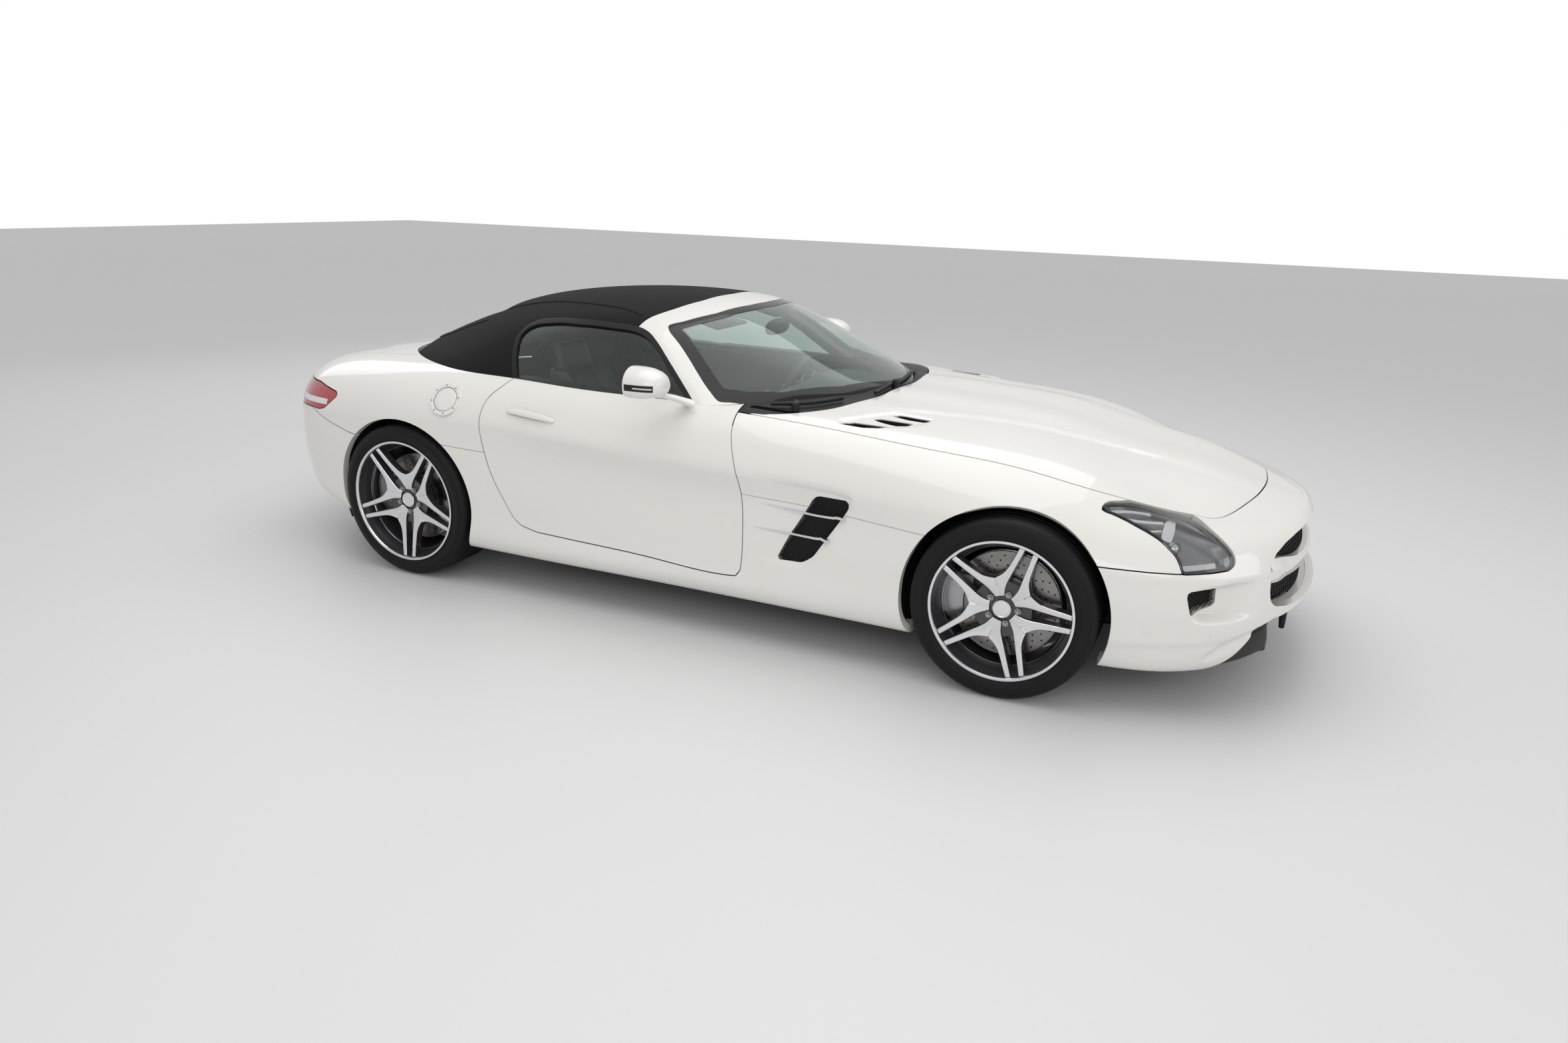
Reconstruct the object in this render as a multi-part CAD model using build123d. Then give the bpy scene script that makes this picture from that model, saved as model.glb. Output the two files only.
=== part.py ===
from build123d import *
import os
from math import cos, sin, radians, sqrt

# Two-seat roadster: long bonnet, fabric soft top, forward-hinged doors.
# Millimetres. +X is forward, +Y is the car's left, +Z is up.
# The origin is on the ground, midway between nose and tail, on the centre plane.

# ---------------------------------------------------------------- driving dimensions
length = 4638.0
half_width = 969.5            # widest skin, over the rear arches
wheelbase = 2680.0
front_overhang = 1005.0
skin = 25.0                   # panel thickness
gap = 5.0                     # clearance round anything that moves
fit = 0.3                     # radial clearance of a pin in its bore
tray_top = 190.0              # floor line of the outer panels

x_nose = length / 2
x_tail = -length / 2
x_front = x_nose - front_overhang
x_rear = x_front - wheelbase
station = {"nose": x_nose, "front": x_front, "rear": x_rear, "tail": x_tail}

# wheels: radius, tyre width, rim width over the flanges, flange radius, hub centre inboard of half_width
front_wheel = {"r": 334.0, "tyre_w": 265.0, "rim_w": 254.0, "flange_r": 258.8, "y": half_width - 136.5}
rear_wheel = {"r": 342.5, "tyre_w": 295.0, "rim_w": 292.0, "flange_r": 271.5, "y": half_width - 152.5}
arch_r = 365.0                # opening in the outer skin
well_r = 395.0                # room behind the skin for the steered tyre
well_wall_y = 500.0           # inner wall of the wheel wells
well_lip_y = half_width - 36.0
liner_t = 4.0
kingpin_y = half_width - 186.5
steer_limit = 33.0

# doors
door_front_x = x_front - 1025.0
door_rear_x = x_rear + 441.0
door_bottom_z = 290.0
door_depth = 110.0            # skin to trim
door_inner_y = half_width - 289.5
door_hinge_inset = 82.0       # hinge line behind the door's front edge
door_axis_x = door_front_x - door_hinge_inset
door_axis_y = half_width - 74.5
pillar_y = half_width - 169.5       # outer face of the fixed screen pillar's foot
pillar_rear_x = door_axis_x - 258.0
door_pin_r = 8.0
door_hinge_z = (380.0, 575.0)
door_limit = 65.0             # degrees the door opens

# bonnet and boot lid
bonnet_axis_x = door_axis_x - 88.0
bonnet_axis_z = 830.0
bonnet_hinge_y = half_width - 239.5
bonnet_zmin = 580.0
boot_front_x = x_tail + 474.0
boot_axis_x = boot_front_x - 80.0
boot_axis_z = 862.0
boot_hinge_y = 400.0
boot_half_w = half_width - 439.5
boot_zmin = 700.0
lid_pin_r = 7.0

# cabin
cabin_half_w = door_inner_y - 5.0
cabin_rear_x = x_rear + 366.0
floor_z = 205.0
seat_y = 370.0
tunnel_half_w = 140.0
tunnel_z = 500.0
wheel_centre = (door_axis_x - 258.0, seat_y, 775.0)
column_tilt = 22.0
column_r = 20.0

# ---------------------------------------------------------------- body sections
# station, offset, then heights z and insets from half_width (in) of the section's corners:
# centre z, crown in, crown z, shoulder in, shoulder z, widest in, widest z, rocker in, rocker z
body_rows = [
    ("nose", 0, 540, 849.5, 535, 779.5, 520, 729.5, 440, 729.5, 300),
    ("nose", -24, 590, 719.5, 575, 619.5, 545, 539.5, 440, 524.5, 215),
    ("nose", -79, 635, 599.5, 612, 479.5, 575, 369.5, 450, 354.5, 180),
    ("nose", -169, 672, 479.5, 640, 344.5, 590, 239.5, 460, 234.5, 172),
    ("nose", -299, 706, 379.5, 664, 239.5, 604, 139.5, 480, 144.5, 172),
    ("front", 536, 756, 314.5, 706, 169.5, 640, 69.5, 520, 79.5, 175),
    ("front", 286, 822, 254.5, 756, 109.5, 680, 25.5, 540, 39.5, 177),
    ("front", 0, 885, 229.5, 826, 84.5, 738, 2.5, 590, 29.5, 178),
    ("front", -364, 915, 229.5, 862, 89.5, 780, 19.5, 590, 29.5, 180),
    ("front", -694, 935, 224.5, 885, 104.5, 808, 34.5, 560, 39.5, 180),
    ("front", -1014, 935, 224.5, 900, 124.5, 812, 44.5, 540, 41.5, 178),
    ("rear", 1266, 935, 224.5, 915, 127.5, 822, 47.5, 540, 43.5, 178),
    ("rear", 766, 935, 234.5, 925, 119.5, 830, 41.5, 560, 43.5, 184),
    ("rear", 366, 935, 249.5, 930, 97.5, 835, 19.5, 600, 29.5, 186),
    ("rear", 0, 935, 259.5, 928, 74.5, 838, 0.5, 640, 24.5, 186),
    ("rear", -334, 925, 279.5, 916, 79.5, 835, 11.5, 655, 34.5, 186),
    ("tail", 369, 908, 309.5, 900, 109.5, 830, 44.5, 650, 74.5, 190),
    ("tail", 179, 885, 349.5, 872, 179.5, 815, 111.5, 640, 154.5, 205),
    ("tail", 79, 850, 409.5, 832, 269.5, 785, 204.5, 620, 249.5, 240),
    ("tail", 29, 790, 489.5, 775, 369.5, 740, 304.5, 600, 344.5, 290),
    ("tail", 0, 660, 669.5, 655, 549.5, 640, 499.5, 560, 529.5, 400),
]


def body_section(row, t):
    """One closed cross-section of the body, t mm inside the outer skin."""
    ref, offset, zc, in_k, zk, in_s, zs, in_w, zw, in_r, zr = row
    x = station[ref] + offset
    yk, zk, zc = half_width - in_k - 0.2 * t, zk - t, zc - t
    ys, zs = half_width - in_s - 0.75 * t, zs - 0.6 * t
    yw, yr = half_width - in_w - t, half_width - in_r - t
    zb, zr = zr - 28 + t, zr + 0.6 * t
    corner = yr - 70
    edges = [
        ThreePointArc((x, -yk, zk), (x, 0, zc), (x, yk, zk)),
        ThreePointArc((x, yk, zk), (x, ys, zs), (x, yw, zw)),
        Line((x, yw, zw), (x, yr, zr)),
        Line((x, yr, zr), (x, corner, zb)),
        Line((x, corner, zb), (x, -corner, zb)),
        Line((x, -corner, zb), (x, -yr, zr)),
        Line((x, -yr, zr), (x, -yw, zw)),
        ThreePointArc((x, -yw, zw), (x, -ys, zs), (x, -yk, zk)),
    ]
    return Face(Wire(edges))


def body_loft(t, drop_ends=0):
    """The body's outer form, t mm inside the skin, without its first and last rows."""
    rows = body_rows[drop_ends:len(body_rows) - drop_ends]
    return loft([body_section(row, t) for row in rows], ruled=True)


# the glasshouse, open or closed by the soft top
# station, offset, centre z, cantrail y, cantrail z, belt y, belt z
roof_foot_z = 800.0
roof_rows = [
    ("front", -674, 930, 60, 926, 90, 900),
    ("front", -714, 950, 150, 940, 200, 905),
    ("front", -814, 996, 330, 955, 400, 900),
    ("front", -1014, 1082, 520, 985, 620, 900),
    ("front", -1194, 1165, 600, 1025, 760, 890),
    ("front", -1364, 1230, 620, 1090, 775, 900),
    ("rear", 1036, 1258, 602, 1168, 785, 905),
    ("rear", 766, 1260, 600, 1165, 785, 905),
    ("rear", 466, 1240, 595, 1120, 775, 905),
    ("rear", 166, 1190, 560, 1050, 755, 905),
    ("rear", -84, 1105, 490, 990, 640, 905),
    ("rear", -284, 1022, 380, 955, 490, 905),
    ("rear", -434, 955, 200, 930, 290, 900),
    ("rear", -484, 915, 80, 908, 120, 895),
]


def roof_section(row, t):
    """One closed cross-section of the glasshouse, t mm inside its outside."""
    ref, offset, zc, yc, zk, yb, zb = row
    x = station[ref] + offset
    zc, yc, zk, yb, zb = zc - t, yc - 0.6 * t, zk - 0.9 * t, yb - t, zb - 0.3 * t
    foot = roof_foot_z
    edges = [
        ThreePointArc((x, -yc, zk), (x, 0, zc), (x, yc, zk)),
        Line((x, yc, zk), (x, yb, zb)),
        Line((x, yb, zb), (x, yb, foot)),
        Line((x, yb, foot), (x, -yb, foot)),
        Line((x, -yb, foot), (x, -yb, zb)),
        Line((x, -yb, zb), (x, -yc, zk)),
    ]
    return Face(Wire(edges))


def roof_loft(t):
    return loft([roof_section(row, t) for row in roof_rows], ruled=True)


# ---------------------------------------------------------------- small builders
def block(x0, x1, y0, y1, z0, z1):
    centre = Pos((x0 + x1) / 2, (y0 + y1) / 2, (z0 + z1) / 2)
    return centre * Box(abs(x1 - x0), abs(y1 - y0), abs(z1 - z0))


def side_prism(points, y0, y1, grow=0.0):
    """A prism from a side-view outline of (x, z) points, between two y planes."""
    face = Face(Wire.make_polygon([(x, y0, z) for x, z in points], close=True))
    if grow:
        face = offset(face, amount=grow, kind=Kind.INTERSECTION).face()
    return extrude(face, amount=y1 - y0, dir=(0, 1, 0))


def plan_prism(points, z0, z1, grow=0.0):
    """A prism from a plan-view outline of (x, y) points, between two heights."""
    face = Face(Wire.make_polygon([(x, y, z0) for x, y in points], close=True))
    if grow:
        face = offset(face, amount=grow, kind=Kind.INTERSECTION).face()
    return extrude(face, amount=z1 - z0, dir=(0, 0, 1))


def both_sides(half_points):
    """Closes an outline of (x, y) points given for y >= 0 with its mirror image."""
    return half_points + [(x, -y) for x, y in reversed(half_points) if y > 0]


def rod_x(y, z, r, x0, x1):
    return Pos((x0 + x1) / 2, y, z) * Rot(0, 90, 0) * Cylinder(r, abs(x1 - x0))


def rod_y(x, z, r, y0, y1):
    return Pos(x, (y0 + y1) / 2, z) * Rot(90, 0, 0) * Cylinder(r, abs(y1 - y0))


def rod_z(x, y, r, z0, z1):
    return Pos(x, y, (z0 + z1) / 2) * Cylinder(r, abs(z1 - z0))


def mirrored(shape):
    return shape.mirror(Plane.XZ)


def main_solid(shape):
    """The largest solid of a cut, without the slivers a cut can leave beside it."""
    return max(shape.solids(), key=lambda s: s.volume)


nodes = {}


def pair(name, left):
    """Writes a left-hand piece and its mirror image."""
    nodes[name + "_left"] = left
    nodes[name + "_right"] = mirrored(left)


# ---------------------------------------------------------------- shared solids and zones
outer = body_loft(0)
inner = body_loft(skin, 1)
lining = body_loft(skin + 20, 2)
door_core = body_loft(door_depth, 3)
roof = roof_loft(0)

wells = None
for axle_x, wheel in ((x_front, front_wheel), (x_rear, rear_wheel)):
    for side in (1, -1):
        deep = rod_y(axle_x, wheel["r"], well_r, side * well_wall_y, side * well_lip_y)
        lip = rod_y(axle_x, wheel["r"], arch_r, side * well_wall_y, side * (half_width + 50))
        well = deep + lip
        wells = well if wells is None else wells + well

shell = (outer - inner) - wells
side_wall = outer - door_core

low, high = 0.0, 1400.0
wide = half_width + 100

# the bonnet in plan, from the nose round to the rear edge
bonnet_outline = both_sides([
    (x_nose - 219, 0), (x_nose - 244, 250), (x_nose - 304, 450), (x_nose - 431, 588),
    (x_front + 363, 698), (x_front + 86, 760), (x_front - 264, 788), (bonnet_axis_x + 42, 785),
    (x_front - 950, 600), (x_front - 770, 360), (x_front - 655, 0),
])
bonnet_cut = plan_prism(bonnet_outline, bonnet_zmin, high)
bonnet_zone = plan_prism(bonnet_outline, bonnet_zmin - 20, high, 8)

# headlamps, tail lamps, side vents and bumpers in side view
lamp_outline = [
    (x_front + 283, 712), (x_front + 376, 738), (x_front + 576, 694), (x_nose - 264, 606),
    (x_nose - 264, 513), (x_nose - 441, 520), (x_front + 406, 600),
]
bumper_outline = [
    (x_front + 200, low), (x_front + 200, 527), (x_nose - 441, 520), (x_nose - 264, 513),
    (x_nose - 264, high), (x_nose + 50, high), (x_nose + 50, low),
]
vent_outline = [
    (x_front - 876, 372), (x_front - 752, 375), (x_front - 595, 578), (x_front - 608, 649),
    (x_front - 781, 591),
]
tail_lamp_outline = [
    (x_tail + 549, 779), (x_tail + 366, 806), (x_tail + 10, 800), (x_tail + 10, 700),
    (x_tail + 329, 673),
]
tail_lamp_inner_y = half_width - 420.0
rear_bumper_outline = [
    (x_rear - 200, low), (x_rear - 200, 600), (x_tail + 329, 673), (x_tail + 329, high),
    (x_tail - 50, high), (x_tail - 50, low),
]
rear_bumper_top = 673.0

# the door in plan: inside a cylinder about its hinge at both ends, so that it can swing
door_swing_r = door_axis_x - door_rear_x
door_side_outline = [
    (door_front_x + 10, door_bottom_z), (door_front_x + 10, high), (door_rear_x - 60, high),
    (door_rear_x - 20, 760), (door_rear_x + 10, 618), (door_rear_x + 45, 520),
    (door_rear_x + 115, 400), (door_rear_x + 155, 340), (door_rear_x + 205, door_bottom_z + 10),
    (door_rear_x + 260, door_bottom_z),
]


def door_plan(extra):
    """The door's plan zone for the left side, grown by the clearance around it."""
    lobe = rod_z(door_axis_x, door_axis_y, door_hinge_inset + extra, low, high)
    swing = rod_z(door_axis_x, door_axis_y, door_swing_r + extra, low, high)
    rear = block(x_tail, door_axis_x + extra, door_inner_y - extra, wide, low, high)
    return (swing & rear) + (lobe & block(door_axis_x - 200, x_nose, 0, wide, low, high))


door_outline_solid = side_prism(door_side_outline, 0, wide)
door_zone = door_plan(gap + 1) & side_prism(door_side_outline, 0, wide, gap + 5)

# the fixed foot of the screen pillar stands inboard of the door's front corner
pillar_room = block(pillar_rear_x, x_nose, 0, pillar_y + gap, 600, high)

# the soft top's side window and rear window, and the windscreen
window_outline = [
    (door_axis_x - 238, 860), (door_axis_x - 248, 927), (door_axis_x - 408, 1075),
    (x_rear + 1010, 1154), (x_rear + 746, 1162), (x_rear + 459, 1100), (x_rear + 436, 860),
]
screen_outline = both_sides([
    (x_front - 1324, 0), (x_front - 1374, 300), (x_front - 1504, 545),
    (x_front - 1219, 735), (x_front - 984, 640), (x_front - 754, 400), (x_front - 600, 0),
])
header_outline = both_sides([
    (x_front - 1424, 0), (x_front - 1474, 300), (x_front - 1614, 640), (x_front - 1614, 900),
    (x_front - 500, 900), (x_front - 500, 0),
])
rear_window_outline = both_sides([
    (x_rear + 116, 0), (x_rear + 110, 330), (x_rear - 224, 260), (x_rear - 244, 0),
])

# ---------------------------------------------------------------- outer panels
undertray = shell & block(x_tail, x_nose, -wide, wide, low, tray_top)
body_top = block(x_tail, x_nose, -wide, wide, tray_top, high)
skin_top = shell & body_top

lamp_zone = side_prism(lamp_outline, -wide, wide)
bumper_zone = side_prism(bumper_outline, -wide, wide)
tail_zone = side_prism(tail_lamp_outline, tail_lamp_inner_y, wide)
left_half = block(x_tail - 50, x_nose + 50, 0, wide, low, high)

bonnet_skin = skin_top & bonnet_cut
bonnet = main_solid(bonnet_skin)
# each hinge arm runs forward under the cowl, then up to the underside of the bonnet
arm_outline = [
    (bonnet_axis_x, bonnet_axis_z - 12), (bonnet_axis_x + 190, bonnet_axis_z + 10),
    (bonnet_axis_x + 190, bonnet_axis_z + 90), (bonnet_axis_x + 150, bonnet_axis_z + 90),
    (bonnet_axis_x + 125, bonnet_axis_z + 22), (bonnet_axis_x, bonnet_axis_z + 8),
]
for side in (1, -1):
    y = side * bonnet_hinge_y
    arm = side_prism(arm_outline, y - 12, y + 12) & inner
    arm = arm + rod_y(bonnet_axis_x, bonnet_axis_z, 15, y - 12, y + 12)
    bonnet = bonnet + (arm - rod_y(bonnet_axis_x, bonnet_axis_z, lid_pin_r + fit, y - 20, y + 20))
nodes["bonnet"] = bonnet

front_panels = skin_top - bonnet_zone
fender_zone = block(door_axis_x + gap, x_nose - 264, cabin_half_w, wide, tray_top, high)
fender = (front_panels & fender_zone) - door_zone - lamp_zone - bumper_zone
sill_end_x = door_front_x + gap
sill_top_z = door_bottom_z - gap - 1
fender = fender - block(x_tail, sill_end_x, 0, wide, low, sill_top_z)
fender = main_solid(fender - side_prism(vent_outline, 0, wide))
pair("fender", fender)

vent_layer = (inner - lining) & side_prism(vent_outline, 600, wide, 18)
side_vent = main_solid(vent_layer - wells)
nodes["side_vents"] = Compound([side_vent, mirrored(side_vent)])

lamp = (front_panels & lamp_zone & left_half) - bumper_zone
lamp = main_solid(lamp & block(x_front, x_nose, 250, wide, low, high))
nodes["headlamps"] = Compound([lamp, mirrored(lamp)])

# front bumper with its grille opening, side intakes and splitter
grille_half_w = 455.0
grille_z = (345.0, 565.0)
intake_y = (half_width - 269.5, half_width - 149.5)
intake_z = (300.0, 465.0)
splitter_z = 140.0
bumper = (front_panels & bumper_zone) - lamp_zone
grille_hole = block(x_nose - 300, x_nose + 50, -grille_half_w, grille_half_w, *grille_z)
bumper = bumper - grille_hole
for side in (1, -1):
    intake = block(x_nose - 500, x_nose, side * intake_y[0], side * intake_y[1], *intake_z)
    bumper = bumper - intake
nodes["front_bumper"] = main_solid(bumper)

grille_layer = (inner - lining) & block(x_nose - 300, x_nose, -grille_half_w - 18, grille_half_w + 18,
                                        grille_z[0] - 18, grille_z[1] + 18)
grille = main_solid(grille_layer)
bar = block(x_nose - 120, x_nose - 24, -grille_half_w, grille_half_w, 445, 475) & outer
grille = grille + (bar - (outer - inner) + (bar & grille_hole))
intake_layer = (inner - lining) & block(x_nose - 520, x_nose - 100, intake_y[0] - 15, intake_y[1] + 15,
                                        intake_z[0] - 15, intake_z[1] + 15)
intake_mesh = main_solid(intake_layer)
nodes["grille"] = Compound([grille, intake_mesh, mirrored(intake_mesh)])

# rear panels
boot_outline = both_sides([
    (boot_front_x, 0), (boot_front_x, boot_half_w), (x_tail + 79, boot_half_w - 50), (x_tail - 20, 420),
    (x_tail - 20, 0),
])
boot_lobe_r = sqrt((boot_front_x - boot_axis_x) ** 2 + 45 ** 2)


def boot_zone(grow):
    """The boot lid's zone; its front edge is a cylinder about the hinge."""
    plan = plan_prism(boot_outline, boot_zmin - grow, high, grow + 20)
    side = block(x_tail - 60, boot_axis_x, -boot_half_w - grow, boot_half_w + grow, boot_zmin - grow, high)
    front = rod_y(boot_axis_x, boot_axis_z, boot_lobe_r + grow, -boot_half_w - grow, boot_half_w + grow)
    return plan & (side + (front & block(boot_axis_x, x_nose, -wide, wide, low, high)))


boot_lid = main_solid(skin_top & boot_zone(0))
for side in (1, -1):
    y = side * boot_hinge_y
    ear = block(boot_axis_x - 60, boot_axis_x + 16, y - 12, y + 12, boot_axis_z - 16, boot_axis_z + 40)
    ear = ear & inner
    boot_lid = boot_lid + (ear - rod_y(boot_axis_x, boot_axis_z, lid_pin_r + fit, y - 20, y + 20))
nodes["boot_lid"] = boot_lid

deck_outline = both_sides([
    (cabin_rear_x, 0), (cabin_rear_x, cabin_half_w), (x_rear - 134, 560), (boot_front_x + 60, 560),
    (boot_front_x + 60, 420), (boot_axis_x, 420), (boot_axis_x, 0),
])
deck_cut = plan_prism(deck_outline, 780, high)
rear_panels = skin_top - boot_zone(gap + 1)
rear_deck = main_solid(rear_panels & deck_cut)

sill = side_wall & block(door_rear_x - 30, sill_end_x, 600, wide, tray_top, sill_top_z)
sill = main_solid(sill - wells)
pad_size = (120.0, 60.0)
pad_z = 135.0
pad_x = (x_front - 400.0, x_rear + 480.0)
pad_y = half_width - 169.5

rear_bumper_zone = side_prism(rear_bumper_outline, -wide, wide)
quarter_zone = block(x_tail, door_front_x, 0, wide, tray_top, high)
quarter_zone = quarter_zone - block(cabin_rear_x, x_nose, 0, cabin_half_w + 40, low, high)
quarter = (rear_panels & quarter_zone) - door_zone - deck_cut - tail_zone - rear_bumper_zone
quarter = quarter - block(door_rear_x - 30, sill_end_x, 0, wide, low, sill_top_z)
quarter = main_solid(quarter & block(x_tail, door_rear_x + 300, 0, wide, low, high))
pair("quarter", quarter)
tail_lamp = main_solid(rear_panels & tail_zone)
nodes["tail_lamps"] = Compound([tail_lamp, mirrored(tail_lamp)])
tail_both = tail_zone + mirrored(tail_zone)
rear_bumper = (rear_panels & rear_bumper_zone) - tail_both
exhaust_y = (half_width - 399.5, half_width - 289.5)
exhaust_z = 262.0
exhaust_r = 42.0
plate_half_w = 260.0
rear_plate_z = (470.0, 585.0)
for side in (1, -1):
    for y in exhaust_y:
        rear_bumper = rear_bumper - rod_x(side * y, exhaust_z, exhaust_r + 10, x_tail - 50, x_tail + 400)
recess = block(x_tail - 10, x_tail + 8, -plate_half_w - 10, plate_half_w + 10,
               rear_plate_z[0] - 10, rear_plate_z[1] + 10)
rear_bumper = main_solid(rear_bumper - recess)
nodes["rear_bumper"] = rear_bumper
nodes["rear_deck"] = rear_deck

front_plate = block(x_nose - 40, x_nose, -plate_half_w, plate_half_w, 215, 325) - outer
rear_plate = block(x_tail + 2, x_tail + 8, -plate_half_w, plate_half_w, *rear_plate_z)
nodes["plates"] = Compound([main_solid(front_plate), rear_plate])

# cowl below the windscreen, from the bonnet's rear edge to under the glass
cowl_outline = both_sides([
    (x_front - 664, 0), (x_front - 779, 352), (x_front - 960, 592), (bonnet_axis_x + 34, 770),
    (bonnet_axis_x - 20, 770), (x_front - 1100, 600), (x_front - 900, 400), (x_front - 800, 0),
])
cowl = skin_top & plan_prism(cowl_outline, 800, high)
for side in (1, -1):
    # a slot lets the bonnet's hinge arm rise through the cowl
    slot_y = side * bonnet_hinge_y
    cowl = cowl - block(bonnet_axis_x - 60, bonnet_axis_x + 120, slot_y - 12 - gap, slot_y + 12 + gap, 780, high)
cowl = main_solid(cowl)

# ---------------------------------------------------------------- doors
door = side_wall & door_plan(0) & door_outline_solid
door = door - pillar_room - wells
door = main_solid(door & block(x_tail, x_nose, door_inner_y, wide, low, high))
hinges = None
for z in door_hinge_z:
    # a pocket lets the door turn round its fixed hinge arm
    pocket = rod_z(door_axis_x, door_axis_y, 30, z - 20, z + 20)
    for turn in (0, 22, 44, door_limit):
        arm_room = Pos(door_axis_x, door_axis_y, z) * Rot(0, 0, turn) * Pos(0, -75, 0) * Box(44, 150, 40)
        pocket = pocket + arm_room
    door = door - pocket
    door = door - rod_z(door_axis_x, door_axis_y, door_pin_r + fit, z - 45, z + 45)
    arm = block(door_axis_x - 14, door_axis_x + 14, pillar_y - 10, door_axis_y, z - 14, z + 14)
    pin = rod_z(door_axis_x, door_axis_y, door_pin_r, z - 40, z + 40)
    hinge = arm + rod_z(door_axis_x, door_axis_y, 18, z - 14, z + 14) + pin
    hinges = hinge if hinges is None else hinges + hinge
pair("door", main_solid(door))

glass_t = 6.0
window_cut = side_prism(window_outline, 0, wide)
door_glass = (roof - roof_loft(glass_t)) & side_prism(window_outline, 0, wide, -gap - 2)
door_glass = main_solid((door_glass & left_half) - outer)
pair("door_glass", door_glass)

mirror_centre = (door_axis_x - 298, half_width - 12.5, 1000.0)
mirror_size = (150.0, 164.0, 124.0)
mirror_foot_z = 800.0
mx, my, mz = mirror_centre
housing = Pos(mx, my, mz) * Box(*mirror_size)
housing = fillet(housing.edges().filter_by(Axis.X), 40)
stalk = block(mx + 40, mx + 80, pillar_y + gap + 8, my - 40, mirror_foot_z, mz - 35)
stalk = stalk & side_prism([(mx + 30, mirror_foot_z), (mx + 90, mirror_foot_z), (mx + 75, mz), (mx + 45, mz)], 0, wide)
pair("mirror", main_solid((housing + stalk) - outer))

# ---------------------------------------------------------------- screen, soft top, rear window
screen_cut = plan_prism(screen_outline, 850, high)
header_zone = plan_prism(header_outline, low, high)
frame_ring = (roof - roof_loft(45)) & header_zone
screen_frame = frame_ring - screen_cut - side_prism(window_outline, -wide, wide)
screen_frame = main_solid(screen_frame - skin_top)
nodes["windscreen_frame"] = screen_frame
windscreen = (roof - roof_loft(glass_t)) & screen_cut
nodes["windscreen"] = main_solid(windscreen - outer)

top_shell = (roof - roof_loft(30)) - plan_prism(header_outline, low, high, gap / 5)
top_shell = top_shell - side_prism(window_outline, -wide, wide)
rear_glass_cut = plan_prism(rear_window_outline, 850, high)
nodes["soft_top"] = main_solid(top_shell - rear_glass_cut - outer)
nodes["rear_window"] = main_solid(((roof - roof_loft(glass_t)) & rear_glass_cut) - outer)

# ---------------------------------------------------------------- cabin
floor = block(cabin_rear_x, x_front - 714, -820, 820, tray_top - 10, floor_z)
tunnel = block(cabin_rear_x, x_front - 714, -tunnel_half_w, tunnel_half_w, floor_z, tunnel_z)
firewall = block(x_front - 739, x_front - 714, -cabin_half_w, cabin_half_w, floor_z, 880)
posts = None
for side in (1, -1):
    post = block(door_axis_x - 60, door_axis_x + 40, side * (cabin_half_w + 20), side * pillar_y, floor_z, 800)
    link = block(door_axis_x - 60, x_front - 714, side * (cabin_half_w - 20), side * (cabin_half_w + 45),
                 floor_z, 790)
    posts = post + link if posts is None else posts + post + link
hinge_pair = hinges + mirrored(hinges)
floor_pan = (floor + tunnel + firewall + posts) - undertray - sill - mirrored(sill)
sill_pads = [block(x - pad_size[0] / 2, x + pad_size[0] / 2, pad_y - pad_size[1] / 2,
                   pad_y + pad_size[1] / 2, pad_z, tray_top + 4) for x in pad_x]
undertray = undertray - sill - mirrored(sill)
for pad in sill_pads:
    undertray = undertray - pad - mirrored(pad)
    sill = sill + (pad - floor_pan)
floor_pan = main_solid(floor_pan & inner)
nodes["floor_pan"] = floor_pan + hinge_pair
nodes["undertray"] = main_solid(undertray)
pair("sill", sill)

# rear bulkhead with a roll hoop behind each seat
bulkhead_half_w = well_wall_y - liner_t - 1
bulkhead = block(cabin_rear_x - 20, cabin_rear_x, -bulkhead_half_w, bulkhead_half_w, tray_top - 30, 930)
bulkhead = bulkhead & inner
hoop_r, hoop_tube = 125.0, 22.0
for side in (1, -1):
    y = side * seat_y
    bend = Pos(cabin_rear_x - 5, y, 880) * Rot(0, 90, 0) * Torus(hoop_r, hoop_tube)
    legs = rod_z(cabin_rear_x - 5, y - hoop_r, hoop_tube, 780, 880)
    legs = legs + rod_z(cabin_rear_x - 5, y + hoop_r, hoop_tube, 780, 880)
    hoop = (bend & block(cabin_rear_x - 60, cabin_rear_x + 60, y - 200, y + 200, 880, 1100)) + legs
    bulkhead = bulkhead + hoop
nodes["bulkhead"] = bulkhead - rear_deck

console = block(x_front - 1700, x_front - 1150, -tunnel_half_w, tunnel_half_w, tunnel_z, tunnel_z + 110)
nodes["centre_console"] = console

dash_outline = [
    (x_front - 739, 600), (x_front - 739, 872), (x_front - 1130, 862), (x_front - 1190, 800),
    (x_front - 1150, 640), (x_front - 1060, 590),
]
dash = side_prism(dash_outline, -cabin_half_w + 25, cabin_half_w - 25) & inner
wx, wy, wz = wheel_centre
tilt = radians(column_tilt)
column_dir = (cos(tilt), 0, -sin(tilt))
column = Pos(wx, wy, wz) * Rot(0, 90 + column_tilt, 0)
shroud = column * Pos(0, 0, 150) * Cylinder(48, 160)
dash = (dash - shroud) + shroud
dash = dash - column * Pos(0, 0, 130) * Cylinder(column_r + fit, 240)
nodes["dashboard"] = main_solid(dash - screen_frame)

ring = column * Torus(178, 16)
wheel_hub = column * Cylinder(55, 40)
wheel_body = ring + wheel_hub + column * Pos(0, 0, 100) * Cylinder(column_r, 200)
for angle in (0, 90, 180):
    spoke = column * Rot(0, 0, angle) * Pos(0, 110, 0) * Box(34, 150, 14)
    wheel_body = wheel_body + spoke
nodes["steering_wheel"] = wheel_body

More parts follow.
